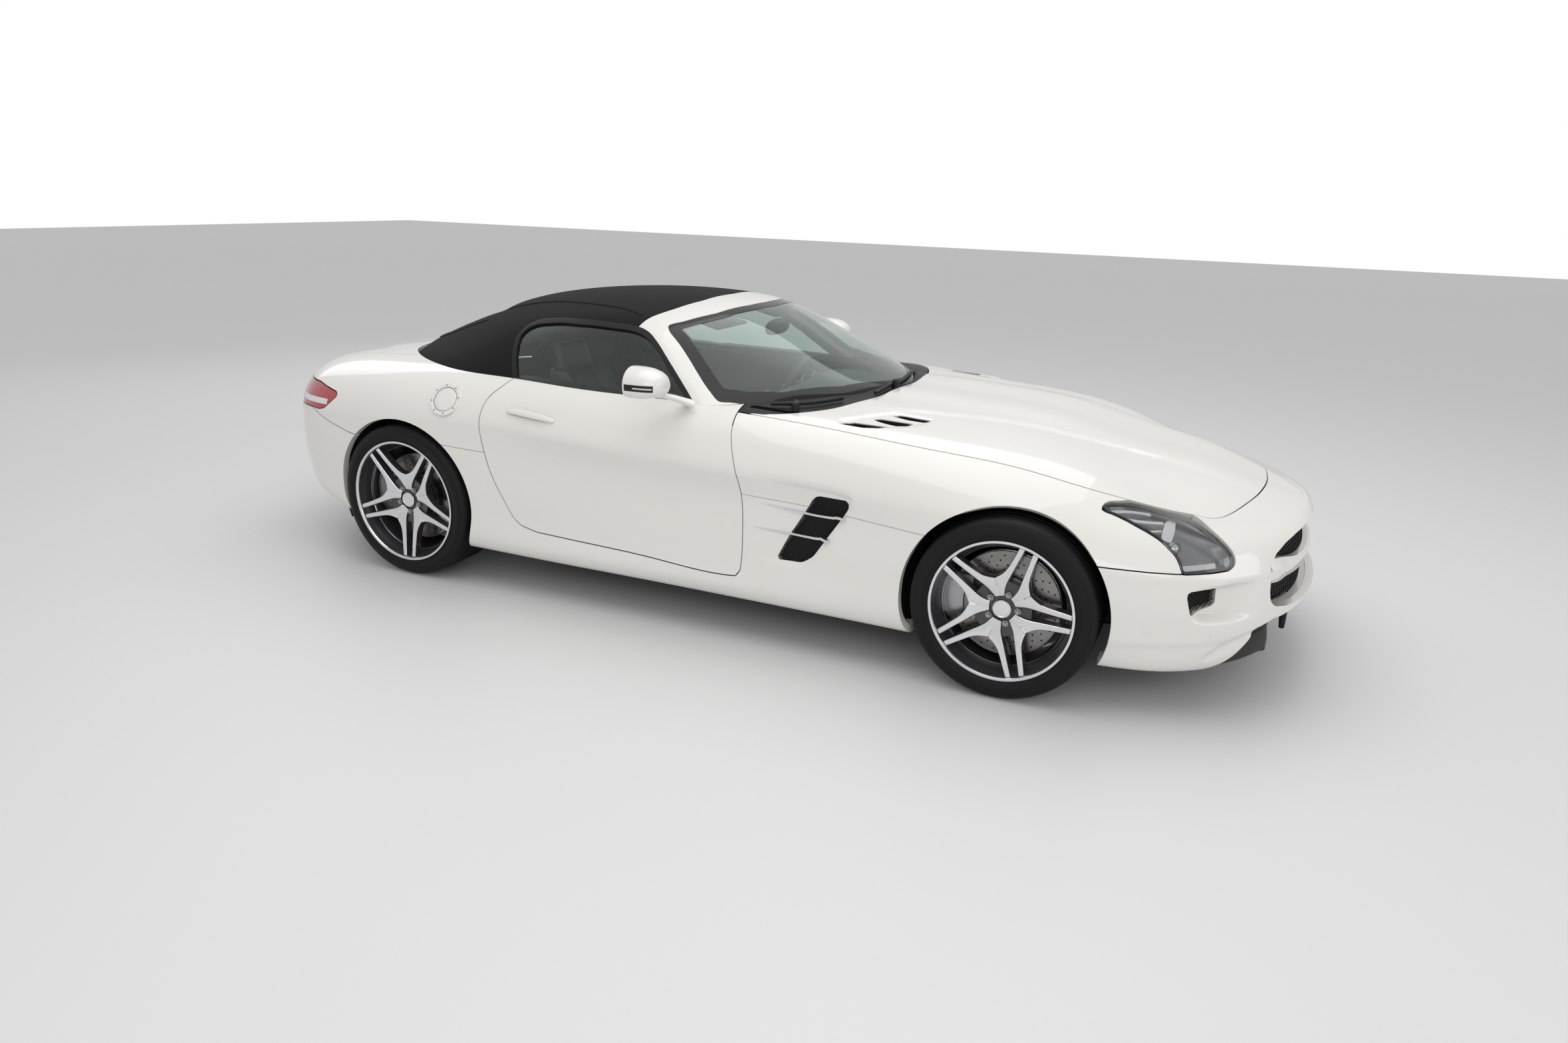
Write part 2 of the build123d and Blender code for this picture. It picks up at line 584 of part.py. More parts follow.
# seats: base, cushion and back in side view
seat_half_w = 250.0
cushion_outline = [
    (x_rear + 1120, floor_z), (x_rear + 1140, 400), (x_rear + 1090, 450), (x_rear + 660, 400),
    (x_rear + 640, floor_z),
]
back_outline = [
    (x_rear + 660, 400), (x_rear + 700, 440), (x_rear + 570, 900), (x_rear + 560, 1040),
    (x_rear + 480, 1040), (x_rear + 460, 860), (x_rear + 560, 330),
]
seat_cushion = side_prism(cushion_outline, seat_y - seat_half_w + 20, seat_y + seat_half_w - 20)
seat_back = side_prism(back_outline, seat_y - seat_half_w + 20, seat_y + seat_half_w - 20)
pair("seat", seat_cushion + seat_back)

# ---------------------------------------------------------------- engine, subframes, exhaust, liners
engine_half_w = 300.0
nodes["engine_block"] = block(x_front - 694, x_front - 94, -engine_half_w, engine_half_w, 230, 780)
arm_z = (150.0, 505.0)
arm_t = 26.0
arm_half = 28.0
ball_r = 10.0
front_frame = None
for side in (1, -1):
    rail = block(x_front - 500, x_front + 330, side * engine_half_w, side * (engine_half_w + 60), 195, 300)
    tower = block(x_front - 60, x_front + 60, side * engine_half_w, side * (engine_half_w + 60), 300, 560)
    part = rail + tower
    for z in arm_z:
        part = part + block(x_front - arm_half, x_front + arm_half, side * (engine_half_w + 20),
                            side * (kingpin_y + 16), z, z + arm_t)
        part = part + rod_z(x_front, side * kingpin_y, ball_r, z - 18, z + arm_t + 18)
    front_frame = part if front_frame is None else front_frame + part
cross = block(x_front + 230, x_front + 330, -engine_half_w, engine_half_w, 195, 260)
nodes["front_subframe"] = (front_frame + cross) - undertray

rear_frame = None
rear_knuckle_y = rear_wheel["y"] - 75
for side in (1, -1):
    rail = block(x_rear - 260, x_rear + 260, side * 300, side * 360, 220, 330)
    part = rail + block(x_rear - 40, x_rear + 40, side * 300, side * 360, 330, 520)
    for z in (235.0, 425.0):
        part = part + block(x_rear - arm_half, x_rear + arm_half, side * 320, side * rear_knuckle_y, z, z + arm_t)
    for x in (x_rear - 250, x_rear + 210):
        part = part + block(x, x + 40, side * 300, side * 360, 165, 225)
    shaft = rod_y(x_rear, rear_wheel["r"], 22, side * 180, side * rear_knuckle_y)
    rear_frame = part + shaft if rear_frame is None else rear_frame + part + shaft
final_drive = block(x_rear - 160, x_rear + 160, -190, 190, 220, 470)
for x in (x_rear - 220, x_rear + 180):
    rear_frame = rear_frame + block(x, x + 40, -300, 300, 230, 290)
nodes["rear_subframe"] = (rear_frame + final_drive) - undertray

silencer = block(x_tail + 200, x_tail + 480, -boot_half_w + 60, boot_half_w - 60, 205, 330)
exhaust = silencer
for side in (1, -1):
    for y in exhaust_y:
        bend = block(x_tail + 180, x_tail + 260, side * 400, side * (y + 20), 225, 300)
        tip = rod_x(side * y, exhaust_z, exhaust_r, x_tail + 12, x_tail + 250)
        tip = tip - rod_x(side * y, exhaust_z, exhaust_r - 5, x_tail, x_tail + 160)
        exhaust = exhaust + bend + tip
hanger_box = block(x_tail + 300, x_tail + 340, -200, 200, tray_top - 20, 206)
nodes["exhaust"] = (exhaust + hanger_box) - undertray - rear_bumper

liners = []
for axle_x, wheel in ((x_front, front_wheel), (x_rear, rear_wheel)):
    liner = rod_y(axle_x, wheel["r"], well_r + liner_t, well_wall_y - liner_t, well_lip_y - liner_t)
    liner = liner - rod_y(axle_x, wheel["r"], well_r, well_wall_y, well_lip_y + 10)
    liner = liner - block(axle_x - 120, axle_x + 120, 0, well_wall_y + 1, 100, 600)
    liner = (liner & inner) - sill - floor_pan - undertray
    liner = main_solid(liner & block(x_tail, x_nose, 0, wide, tray_top + 2, high))
    liners += [liner, mirrored(liner)]
nodes["wheel_liners"] = Compound(liners)

# hinge brackets of the bonnet and the boot lid
bonnet_bracket = None
for side in (1, -1):
    y0 = side * (bonnet_hinge_y - 12 - gap - 12)
    y1 = side * (bonnet_hinge_y - 12 - gap)
    leg = block(bonnet_axis_x - 18, bonnet_axis_x + 18, y0, y1, 780, bonnet_axis_z + 10)
    foot = block(bonnet_axis_x - 18, bonnet_axis_x + 18, side * (cabin_half_w - 10), y0, 776, 800)
    pin = rod_y(bonnet_axis_x, bonnet_axis_z, lid_pin_r, y0, side * (bonnet_hinge_y + 14))
    part = leg + foot + pin
    bonnet_bracket = part if bonnet_bracket is None else bonnet_bracket + part
cowl = cowl + bonnet_bracket
nodes["cowl"] = cowl - screen_frame - floor_pan - dash

boot_bracket = None
for side in (1, -1):
    y0 = side * (boot_hinge_y - 12 - gap - 12)
    y1 = side * (boot_hinge_y - 12 - gap)
    # the leg drops below the lid's swing, then runs forward and up to the deck
    leg = block(boot_axis_x - 10, boot_axis_x + 10, y0, y1, boot_axis_z - 122, boot_axis_z + 8)
    run = block(boot_axis_x - 10, boot_front_x + 105, y0, y1, boot_axis_z - 122, boot_axis_z - 98)
    rise = block(boot_front_x + 81, boot_front_x + 105, y0, y1, boot_axis_z - 122, 930)
    pin = rod_y(boot_axis_x, boot_axis_z, lid_pin_r, y0, side * (boot_hinge_y + 14))
    part = ((leg + run + rise) & inner) + pin
    boot_bracket = part if boot_bracket is None else boot_bracket + part
nodes["rear_deck"] = rear_deck + boot_bracket

wiper_rows = [
    # pivot x, pivot y, tip x, tip y
    (x_front - 735, 120, x_front - 960, 520),
    (x_front - 860, -420, x_front - 725, 90),
]
wipers = []
for x0, y0, x1, y1 in wiper_rows:
    run = sqrt((x1 - x0) ** 2 + (y1 - y0) ** 2)
    z = 962.0
    along = Vector(x1 - x0, y1 - y0, 0)
    turn = along.get_signed_angle(Vector(1, 0, 0), Vector(0, 0, -1))
    blade = Pos((x0 + x1) / 2, (y0 + y1) / 2, z) * Rot(0, 0, turn) * Box(run, 16, 14)
    post = rod_z(x0, y0, 14, 860, z)
    wipers.append((blade + post) - outer - roof)
nodes["wipers"] = Compound([main_solid(w) for w in wipers])

# ---------------------------------------------------------------- wheels and knuckles
disc_r = 195.0
disc_t = 32.0
bearing_r = 30.0
hub_face = 42.0               # wheel mounting face outboard of the tyre's centre plane
spoke_count = 5
flange_t = 8.0
seat_depth = 12.0


def ring_of(profile, axle_x, z):
    """A ring about the axle from a closed profile of (y, radius) points."""
    face = Face(Wire.make_polygon([(axle_x, y, z + r) for y, r in profile], close=True))
    return revolve(face, Axis((axle_x, 0, z), (0, 1, 0)), 360)


def tyre(axle_x, wheel):
    y, r, half, flange = wheel["y"], wheel["r"], wheel["tyre_w"] / 2, wheel["flange_r"]
    bead = wheel["rim_w"] / 2 - flange_t - fit
    half_profile = [
        (bead, flange - seat_depth + fit), (bead, flange + 1), (half, flange + 15), (half - 3, r - 26),
        (half - 22, r - 6), (half - 48, r),
    ]
    profile = [(y + w, h) for w, h in half_profile] + [(y - w, h) for w, h in reversed(half_profile)]
    return ring_of(profile, axle_x, r)


def wheel_rim(axle_x, wheel):
    y, z, half, flange = wheel["y"], wheel["r"], wheel["rim_w"] / 2, wheel["flange_r"]
    seat = flange - seat_depth
    edge = half - flange_t
    profile = [
        (y - half, flange), (y - half, seat - 16), (y + half - 40, seat - 16), (y + half, seat - 4),
        (y + half, flange), (y + edge, flange), (y + edge, seat), (y - edge, seat), (y - edge, flange),
    ]
    body = ring_of(profile, axle_x, z)
    face_y = y + half - 18
    hub = rod_y(axle_x, z, 72, y + hub_face - 8, face_y - 6)
    body = body + hub + rod_y(axle_x, z, 34, face_y - 10, face_y + 4)
    spoke_outline = [(44, 18), (44, -18), (seat - 8, -30), (seat - 8, -12), (110, -2), (110, 2), (seat - 8, 12),
                     (seat - 8, 30)]
    for i in range(spoke_count):
        twin = Face(Wire.make_polygon([(s, 0, v) for s, v in spoke_outline], close=True))
        twin = extrude(twin, amount=34, dir=(0, 1, 0))
        placed = Pos(axle_x, face_y - 38, z) * Rot(0, 90 + 360 / spoke_count * i, 0) * twin
        body = body + placed
    disc_y = y + hub_face - 8
    body = body + rod_y(axle_x, z, disc_r, disc_y - disc_t, disc_y)
    return body + rod_y(axle_x, z, bearing_r, disc_y - disc_t - 70, disc_y)


def knuckle(axle_x, wheel, pins):
    """Upright with its caliper round the rear of the disc; bored for the hub and the ball pins."""
    y, z = wheel["y"], wheel["r"]
    disc_in = y + hub_face - 8 - disc_t
    upright_y0 = kingpin_y - 28 if pins else rear_knuckle_y
    upright_y1 = disc_in - gap
    body = block(axle_x - 50, axle_x + 50, upright_y0, upright_y1, z - 120, z + 120)
    cal_x0, cal_x1 = axle_x - 222, axle_x - 118
    bracket = block(cal_x0 + 20, axle_x, upright_y0 + 10, upright_y1, z - 40, z + 60)
    caliper = block(cal_x0, cal_x1, upright_y0 + 10, disc_in + disc_t + gap + 14, z - 60, z + 90)
    slot = rod_y(axle_x, z, disc_r + gap, disc_in - gap, disc_in + disc_t + gap)
    keep = rod_y(axle_x, z, 223, upright_y0, disc_in + disc_t + 40)
    body = body + bracket + ((caliper & keep) - slot)
    body = body - rod_y(axle_x, z, bearing_r + fit, upright_y0 - 10, upright_y1 + 10)
    if pins:
        for low_z in arm_z:
            end = low_z + arm_t
            if low_z < z:
                lug = block(axle_x - 30, axle_x + 30, kingpin_y - 28, kingpin_y + 22, end + gap, z - 110)
            else:
                lug = block(axle_x - 30, axle_x + 30, kingpin_y - 28, kingpin_y + 22, z + 110, low_z - gap)
            body = body + lug
        body = body - rod_z(axle_x, kingpin_y, ball_r + fit, arm_z[0] + arm_t, arm_z[0] + arm_t + 19)
        body = body - rod_z(axle_x, kingpin_y, ball_r + fit, arm_z[1] - 19, arm_z[1])
    return body


for tag, axle_x, wheel in (("f", x_front, front_wheel), ("r", x_rear, rear_wheel)):
    left_tyre, left_rim = tyre(axle_x, wheel), wheel_rim(axle_x, wheel)
    nodes["tyre_" + tag + "l"], nodes["tyre_" + tag + "r"] = left_tyre, mirrored(left_tyre)
    nodes["rim_" + tag + "l"], nodes["rim_" + tag + "r"] = left_rim, mirrored(left_rim)
front_knuckle = knuckle(x_front, front_wheel, True)
nodes["knuckle_fl"], nodes["knuckle_fr"] = front_knuckle, mirrored(front_knuckle)
rear_knuckle = knuckle(x_rear, rear_wheel, False)
nodes["rear_knuckles"] = Compound([rear_knuckle, mirrored(rear_knuckle)])

# ---------------------------------------------------------------- write
os.makedirs("parts", exist_ok=True)
for name, shape in nodes.items():
    export_step(shape, "parts/" + name + ".step")
print(len(nodes), "nodes")
print("hinge lines: door", door_axis_x, door_axis_y, "bonnet", bonnet_axis_x, bonnet_axis_z,
      "boot", boot_axis_x, boot_axis_z)
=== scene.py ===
"""A two-seat roadster: painted panels, cloth roof, glass, wheels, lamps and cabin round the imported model."""
import math
import bpy
import numpy as np
from mathutils import Matrix, Vector
from mathutils.bvhtree import BVHTree


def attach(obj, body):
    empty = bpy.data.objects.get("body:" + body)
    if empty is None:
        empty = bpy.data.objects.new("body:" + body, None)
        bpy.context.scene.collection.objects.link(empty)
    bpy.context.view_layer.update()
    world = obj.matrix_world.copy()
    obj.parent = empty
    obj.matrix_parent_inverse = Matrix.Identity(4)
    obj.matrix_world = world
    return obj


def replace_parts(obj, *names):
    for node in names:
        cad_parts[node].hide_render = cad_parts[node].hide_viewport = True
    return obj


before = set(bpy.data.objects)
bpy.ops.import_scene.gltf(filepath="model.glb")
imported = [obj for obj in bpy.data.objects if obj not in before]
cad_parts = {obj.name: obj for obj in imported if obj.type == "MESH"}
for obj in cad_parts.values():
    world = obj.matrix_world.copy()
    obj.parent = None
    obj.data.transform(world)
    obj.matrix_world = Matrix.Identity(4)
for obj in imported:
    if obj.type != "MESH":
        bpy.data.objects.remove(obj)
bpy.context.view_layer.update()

MM = .001
FULL_TURN = 2 * math.pi
HARD_EDGE = math.radians(35)
FRONT_AXLE, REAR_AXLE = 1.314, -1.366
SHUT_LINE = .0022  # half of the gap between two panels
SILL_GAP = .001  # the same over the sill
LID, GLASS, CLOTH = .022, .005, .004  # thickness of the lids, the windows and the roof cloth
TURNED_EDGE = .03  # depth of the edges that fixed panels turn in by
FRONT_R, REAR_R = .334, .3425  # tyre radii, also the height of the axles
ARCH_R = .372
PLAN, SIDE, FACE = (0, 1), (0, 2), (1, 2)  # seen from above, from the side, from the front

# ---- body form
# x: (height on the centre line, then (y, z) of sixteen lines down to the underside), in mm
BODY_SECTIONS = {
    1600: [(0, 822), (255, 820), (300, 815), (470, 798), (620, 774), (735, 742), (815, 700), (875, 645),
        (915, 585), (934, 540), (936, 527), (941, 480), (944, 420), (940, 330), (925, 210), (905, 178),
        (820, 165)],
    1314: [(0, 885), (255, 884), (300, 878), (470, 866), (620, 847), (735, 820), (815, 783), (885, 732),
        (932, 672), (955, 625), (957, 612), (963, 565), (966, 450), (960, 330), (948, 210), (925, 178),
        (840, 165)],
    960: [(0, 915), (255, 914), (300, 908), (470, 897), (620, 880), (740, 857), (820, 823), (883, 775),
        (925, 715), (946, 655), (947, 642), (946, 580), (950, 450), (950, 320), (942, 210), (920, 178),
        (840, 165)],
    600: [(0, 935), (255, 934), (300, 928), (470, 917), (620, 902), (745, 884), (820, 852), (872, 805),
        (908, 745), (931, 668), (930, 655), (920, 590), (929, 450), (938, 320), (938, 210), (915, 178),
        (840, 165)],
    220: [(0, 945), (255, 943), (300, 938), (470, 930), (620, 918), (745, 903), (815, 872), (865, 825),
        (900, 765), (925, 686), (923, 672), (906, 600), (918, 450), (932, 300), (936, 210), (912, 178),
        (840, 165)],
    -200: [(0, 945), (255, 944), (300, 940), (470, 934), (620, 926), (750, 914), (812, 885), (860, 838),
        (896, 778), (922, 700), (920, 686), (903, 610), (917, 450), (932, 300), (936, 210), (912, 178),
        (840, 165)],
    -620: [(0, 945), (255, 944), (300, 940), (470, 935), (620, 928), (750, 917), (815, 891), (865, 845),
        (900, 790), (926, 718), (924, 704), (911, 630), (925, 460), (938, 300), (942, 210), (918, 178),
        (840, 165)],
    -1000: [(0, 942), (255, 942), (300, 940), (470, 936), (620, 930), (750, 922), (820, 899), (877, 857),
        (918, 802), (943, 738), (944, 725), (946, 655), (950, 500), (950, 330), (945, 210), (922, 180),
        (840, 165)],
    -1366: [(0, 938), (255, 938), (300, 936), (470, 932), (620, 926), (750, 916), (830, 891), (897, 848),
        (942, 788), (961, 728), (963, 715), (968, 650), (967, 520), (958, 350), (945, 215), (922, 185),
        (840, 168)],
    -1730: [(0, 926), (255, 926), (300, 924), (470, 920), (620, 911), (735, 894), (817, 865), (882, 820),
        (924, 765), (942, 712), (944, 700), (947, 640), (946, 520), (935, 360), (915, 225), (890, 192),
        (810, 172)]}
# the same lines where they meet the centre plane at each end: x, z, and how late the height changes
NOSE_LINE = [(2235, 655, 1.3), (2237, 654, 1.25), (2239, 652, 1.2), (2250, 647, .85), (2262, 638, .5),
    (2275, 622, .6), (2290, 597, .8), (2301, 560, 1), (2309, 520, 1), (2313, 495, 1), (2315, 484, 1),
    (2318, 450, 1), (2319, 390, 1), (2311, 310, 1), (2285, 215, 1), (2265, 180, 1), (2200, 165, 1)]
TAIL_LINE = [(2235, 862, 1.3), (2237, 862, 1.3), (2239, 861, 1.3), (2241, 860, 1.3), (2244, 858, 1.3),
    (2255, 848, 1.2), (2270, 828, 1.1), (2285, 795, 1), (2300, 745, 1), (2308, 702, 1), (2310, 690, 1),
    (2315, 630, 1), (2319, 520, 1), (2302, 370, 1), (2255, 245, 1), (2220, 208, 1), (2150, 190, 1)]
END_STEPS = (.22, .42, .58, .72, .85, 1.)
NOSE_ROUND, TAIL_ROUND = 2.2, 2.35


def end_hoops(start_x, section, centre_line, power, sign):
    """Sections that close one end of the body onto the centre plane."""
    hoops = []
    for t in END_STEPS:
        s = math.sin(t * math.pi / 2) ** (2 / power)
        c = 0. if t == 1 else math.cos(t * math.pi / 2) ** (2 / power)
        hoops.append([(start_x + sign * (far_x - abs(start_x)) * s, y * c, z + (far_z - z) * s ** late)
            for (y, z), (far_x, far_z, late) in zip(section, centre_line)])
    return hoops


def body_net():
    stations = sorted(BODY_SECTIONS)
    rear, front = stations[0], stations[-1]
    rows = end_hoops(rear, BODY_SECTIONS[rear], TAIL_LINE, TAIL_ROUND, -1)[::-1]
    rows += [[(x, y, z) for y, z in BODY_SECTIONS[x]] for x in stations]
    rows += end_hoops(front, BODY_SECTIONS[front], NOSE_LINE, NOSE_ROUND, 1)
    return np.array(rows, float) * MM


def spline_weights(knots, places):
    """What each knot of a natural cubic spline gives to the values at the places."""
    n, h = len(knots), np.diff(knots)
    left, right = np.zeros((n, n)), np.zeros((n, n))
    left[0, 0] = left[-1, -1] = 1
    for i in range(1, n - 1):
        left[i, i - 1:i + 2] = h[i - 1], 2 * (h[i - 1] + h[i]), h[i]
        right[i, i - 1:i + 2] = 6 / h[i - 1], -6 / h[i - 1] - 6 / h[i], 6 / h[i]
    bend = np.linalg.solve(left, right)
    k = np.clip(np.searchsorted(knots, places, side="right") - 1, 0, n - 2)
    step, rows = h[k], np.arange(len(places))
    a, b = (knots[k + 1] - places) / step, (places - knots[k]) / step
    weights = np.zeros((len(places), n))
    weights[rows, k] += a
    weights[rows, k + 1] += b
    weights += ((a ** 3 - a) * step ** 2 / 6)[:, None] * bend[k]
    return weights + ((b ** 3 - b) * step ** 2 / 6)[:, None] * bend[k + 1]


def chords(points, axis):
    """Running length along one direction of a net."""
    moved = np.moveaxis(points, axis, 0)
    return np.concatenate([[0], np.cumsum(np.linalg.norm(np.diff(moved, axis=0), axis=2).mean(axis=1))])


def grid_normals(grid):
    along, across = np.gradient(grid, axis=0), np.gradient(grid, axis=1)
    normals = np.cross(along, across)
    length = np.linalg.norm(normals, axis=2, keepdims=True)
    return normals / np.maximum(length, 1e-12)


def grid_faces(rows, columns):
    a = (np.arange(rows - 1)[:, None] * columns + np.arange(columns - 1)).ravel()
    return [(int(i), int(i + 1), int(i + columns + 1), int(i + columns)) for i in a]


def body_sheet():
    """The left half of the outer skin as a fine smooth sheet: a grid of points and their normals."""
    net, flip = body_net(), np.array([1, -1, 1.])
    ghosts = np.concatenate([net[3:0:-1] * flip, net, net[-2:-5:-1] * flip])
    knots = chords(ghosts, 0)
    steps = int((knots[-4] - knots[3]) / .0115)
    rows = np.einsum("ij,jkc->ikc", spline_weights(knots, np.linspace(knots[3], knots[-4], steps + 1)), ghosts)
    wide = np.concatenate([rows[:, 3:0:-1] * flip, rows], axis=1)
    knots = chords(wide, 1)
    places = []
    for j in range(3, len(knots) - 1):
        count = max(2, int(round((knots[j + 1] - knots[j]) / .0125)))
        places += list(knots[j] + (knots[j + 1] - knots[j]) * np.arange(count) / count)
    places = [knots[3] - .008] + places + [knots[-1]]
    grid = np.einsum("ij,ujc->uic", spline_weights(knots, np.array(places)), wide)
    normals = grid_normals(grid)[:, 1:]
    grid = grid[:, 1:]
    normals[:, 0, 1] = 0
    for end in (0, -1):
        normals[end, :, 1] = 0
        grid[end, :, 1] = 0
    grid[:, 0, 1] = 0
    normals /= np.maximum(np.linalg.norm(normals, axis=2, keepdims=True), 1e-9)
    if normals[len(normals) // 2, 0, 2] < 0:
        normals = -normals
    return grid, normals


# ---- sheets: (points, normals, faces)
def as_sheet(grid, normals):
    rows, columns, _ = grid.shape
    faces = grid_faces(rows, columns)
    a, b, _, d = faces[(rows // 2) * (columns - 1) + columns // 4]
    flat = grid.reshape(-1, 3)
    turn = np.cross(flat[b] - flat[a], flat[d] - flat[a])
    if np.dot(turn, normals.reshape(-1, 3)[a]) < 0:
        faces = [face[::-1] for face in faces]
    return flat, normals.reshape(-1, 3), faces


def compact(points, normals, faces):
    used = sorted({i for face in faces for i in face})
    order = {old: new for new, old in enumerate(used)}
    return points[used], normals[used], [tuple(order[i] for i in face) for face in faces]


def trim(sheet, distance):
    """Keeps the part of a sheet where distance is below zero."""
    points, normals, faces = sheet
    if not faces:
        return sheet
    d = distance(points)
    inside = (d < 0).tolist()
    far = d.tolist()
    new_p, new_n, made, kept = [], [], {}, []
    start = len(points)

    def cut(i, j):
        key = (i, j) if i < j else (j, i)
        if key not in made:
            i, j = key
            t = far[i] / (far[i] - far[j])
            new_p.append(points[i] + (points[j] - points[i]) * t)
            new_n.append(normals[i] + (normals[j] - normals[i]) * t)
            made[key] = start + len(new_p) - 1
        return made[key]

    for face in faces:
        flags = [inside[i] for i in face]
        if all(flags):
            kept.append(face)
        elif any(flags):
            out = []
            for i, j in zip(face, face[1:] + face[:1]):
                if inside[i]:
                    out.append(i)
                if inside[i] != inside[j]:
                    out.append(cut(i, j))
            if len(out) > 2:
                kept.append(tuple(out))
    if new_p:
        points, normals = np.concatenate([points, new_p]), np.concatenate([normals, new_n])
    return compact(points, normals, kept)


def run_along(line):
    """Running length from the start of a line to each of its points."""
    return np.concatenate([[0], np.cumsum(np.linalg.norm(np.diff(line, axis=0), axis=1))])


def round_corner(start, corner, end, steps):
    """A curve from start to end that heads for the corner between them."""
    return [(1 - t) ** 2 * start + 2 * t * (1 - t) * corner + t * t * end for t in np.linspace(0, 1, steps)]


def soften(points, radius, steps=6):
    """Rounds the corners of a closed outline."""
    points = [np.array(p, float) for p in points]
    out = []
    for i, p in enumerate(points):
        before, after = points[i - 1] - p, points[(i + 1) % len(points)] - p
        lengths = np.linalg.norm(before), np.linalg.norm(after)
        reach = min(radius, .45 * lengths[0], .45 * lengths[1])
        a, b = p + before / lengths[0] * reach, p + after / lengths[1] * reach
        out += round_corner(a, p, b, steps)
    return np.array(out)


def flowing(points, per=6):
    """A smooth open line through the points."""
    points = np.array(points, float)
    knots = run_along(points)
    return spline_weights(knots, np.linspace(0, knots[-1], per * (len(points) - 1) + 1)) @ points


def outline(points, view):
    """Distance to a closed outline in one view, below zero inside it."""
    a = np.array(points, float)
    b = np.roll(a, -1, axis=0)
    e = b - a
    ee = np.maximum((e * e).sum(1), 1e-18)
    lo, hi = a.min(0) - .1, a.max(0) + .1

    def distance(v):
        p = v[:, view]
        out = np.full(len(p), .1)
        near = np.all((p > lo) & (p < hi), axis=1)
        q = p[near]
        if len(q):
            w = q[:, None, :] - a
            t = np.clip((w * e).sum(2) / ee, 0, 1)
            far = np.sqrt((((w - t[..., None] * e) ** 2).sum(2)).min(1))
            y = q[:, 1][:, None]
            crosses = (a[:, 1] > y) != (b[:, 1] > y)
            rise = np.where(np.abs(e[:, 1]) < 1e-12, 1e-12, e[:, 1])
            at = a[:, 0] + (y - a[:, 1]) / rise * e[:, 0]
            odd = (crosses & (q[:, 0][:, None] < at)).sum(1) % 2 == 1
            out[near] = np.where(odd, -far, far)
        return out
    return distance


def soft_outline(points, radius, view):
    return outline(soften(points, radius), view)


def inside(zone, margin=SHUT_LINE):
    return lambda v: zone(v) + margin


def outside(zone, margin=SHUT_LINE):
    return lambda v: margin - zone(v)


def below(axis, level):
    return lambda v: v[:, axis] - level


def above(axis, level):
    return lambda v: level - v[:, axis]


def cut_sheet(sheet, *cuts):
    for each in cuts:
        sheet = trim(sheet, each)
    return sheet


def flip_y(sheet):
    """Mirror image in the car's centre plane."""
    points, normals, faces = sheet
    across = np.array([1, -1, 1.])
    return points * across, None if normals is None else normals * across, [face[::-1] for face in faces]


def join(*sheets):
    """Puts sheets together; one without normals leaves them all to the mesh."""
    points, faces, start = [], [], 0
    for p, _, f in sheets:
        points.append(p)
        faces += [tuple(i + start for i in face) for face in f]
        start += len(p)
    normals = [n for _, n, _ in sheets]
    return np.concatenate(points), None if any(n is None for n in normals) else np.concatenate(normals), faces


def tree_of(sheet):
    return BVHTree.FromPolygons([tuple(p) for p in sheet[0]], sheet[2])


def whole(half):
    return join(half, flip_y(half))


def inward(sheet):
    """A bare sheet that faces the other way."""
    return sheet[0], None, [face[::-1] for face in sheet[2]]


def bare(sheet):
    """Leaves a sheet's normals to the mesh."""
    return sheet[0], None, sheet[2]


def both_halves(sheet):
    """Adds the mirror image and joins the two along the centre plane."""
    points, normals, faces = sheet
    count = len(points)
    other = {i: (i if abs(points[i][1]) < 1e-6 else count + i) for i in range(count)}
    p, n, _ = flip_y(sheet)
    points, normals = np.concatenate([points, p]), np.concatenate([normals, n])
    faces = faces + [tuple(other[i] for i in face[::-1]) for face in faces]
    return compact(points, normals, faces)


def pushed(sheet, depth):
    points, normals, faces = sheet
    return points - normals * depth, normals, faces


def border(faces):
    """Directed edges that belong to one face only."""
    count = {}
    for face in faces:
        for i, j in zip(face, face[1:] + face[:1]):
            count[(i, j)] = True
    return [(i, j) for i, j in count if (j, i) not in count]


def rim_of(sheet, depth, direction=None):
    """A wall from the sheet's edge inward, along its normals or one direction."""
    points, normals, faces = sheet
    edges = border(faces)
    ids = sorted({i for edge in edges for i in edge})
    order = {old: new for new, old in enumerate(ids)}
    top = points[ids]
    down = top - normals[ids] * depth if direction is None else top + np.array(direction) * depth
    n = len(ids)
    walls = [(order[j], order[i], order[i] + n, order[j] + n) for i, j in edges]
    return np.concatenate([top, down]), np.zeros((2 * n, 3)), walls


def panel(sheet, depth=.018):
    return join(sheet, rim_of(sheet, depth))


def slab(sheet, depth, direction=None):
    """A closed plate: the sheet, its inner copy and the wall round them."""
    points, normals, faces = sheet
    back = points - normals * depth if direction is None else points + np.array(direction) * depth
    inner = back, -normals, [face[::-1] for face in faces]
    return join(sheet, inner, rim_of(sheet, depth, direction))


def build(name, sheet, material, nodes=(), body="body", slot=None, materials=(), pick=None):
    """Makes a mesh object from a sheet, hangs it on its body and lets it stand for nodes."""
    points, normals, faces = sheet
    mesh = bpy.data.meshes.new(name)
    mesh.from_pydata([tuple(p) for p in points], [], faces)
    for each in (material,) + tuple(materials):
        mesh.materials.append(each)
    if pick is not None:
        mesh.polygons.foreach_set("material_index", [pick(i) for i in range(len(faces))])
    mesh.polygons.foreach_set("use_smooth", [True] * len(faces))
    if normals is None:
        mesh.set_sharp_from_angle(angle=HARD_EDGE)
    else:
        mesh.normals_split_custom_set_from_vertices([tuple(n) for n in normals])
    mesh.update()
    made = add_object(name, mesh)
    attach(made, body)
    if nodes:
        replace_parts(made, *nodes)
    return made


def add_object(name, data):
    made = bpy.data.objects.new(name, data)
    bpy.context.scene.collection.objects.link(made)
    return made


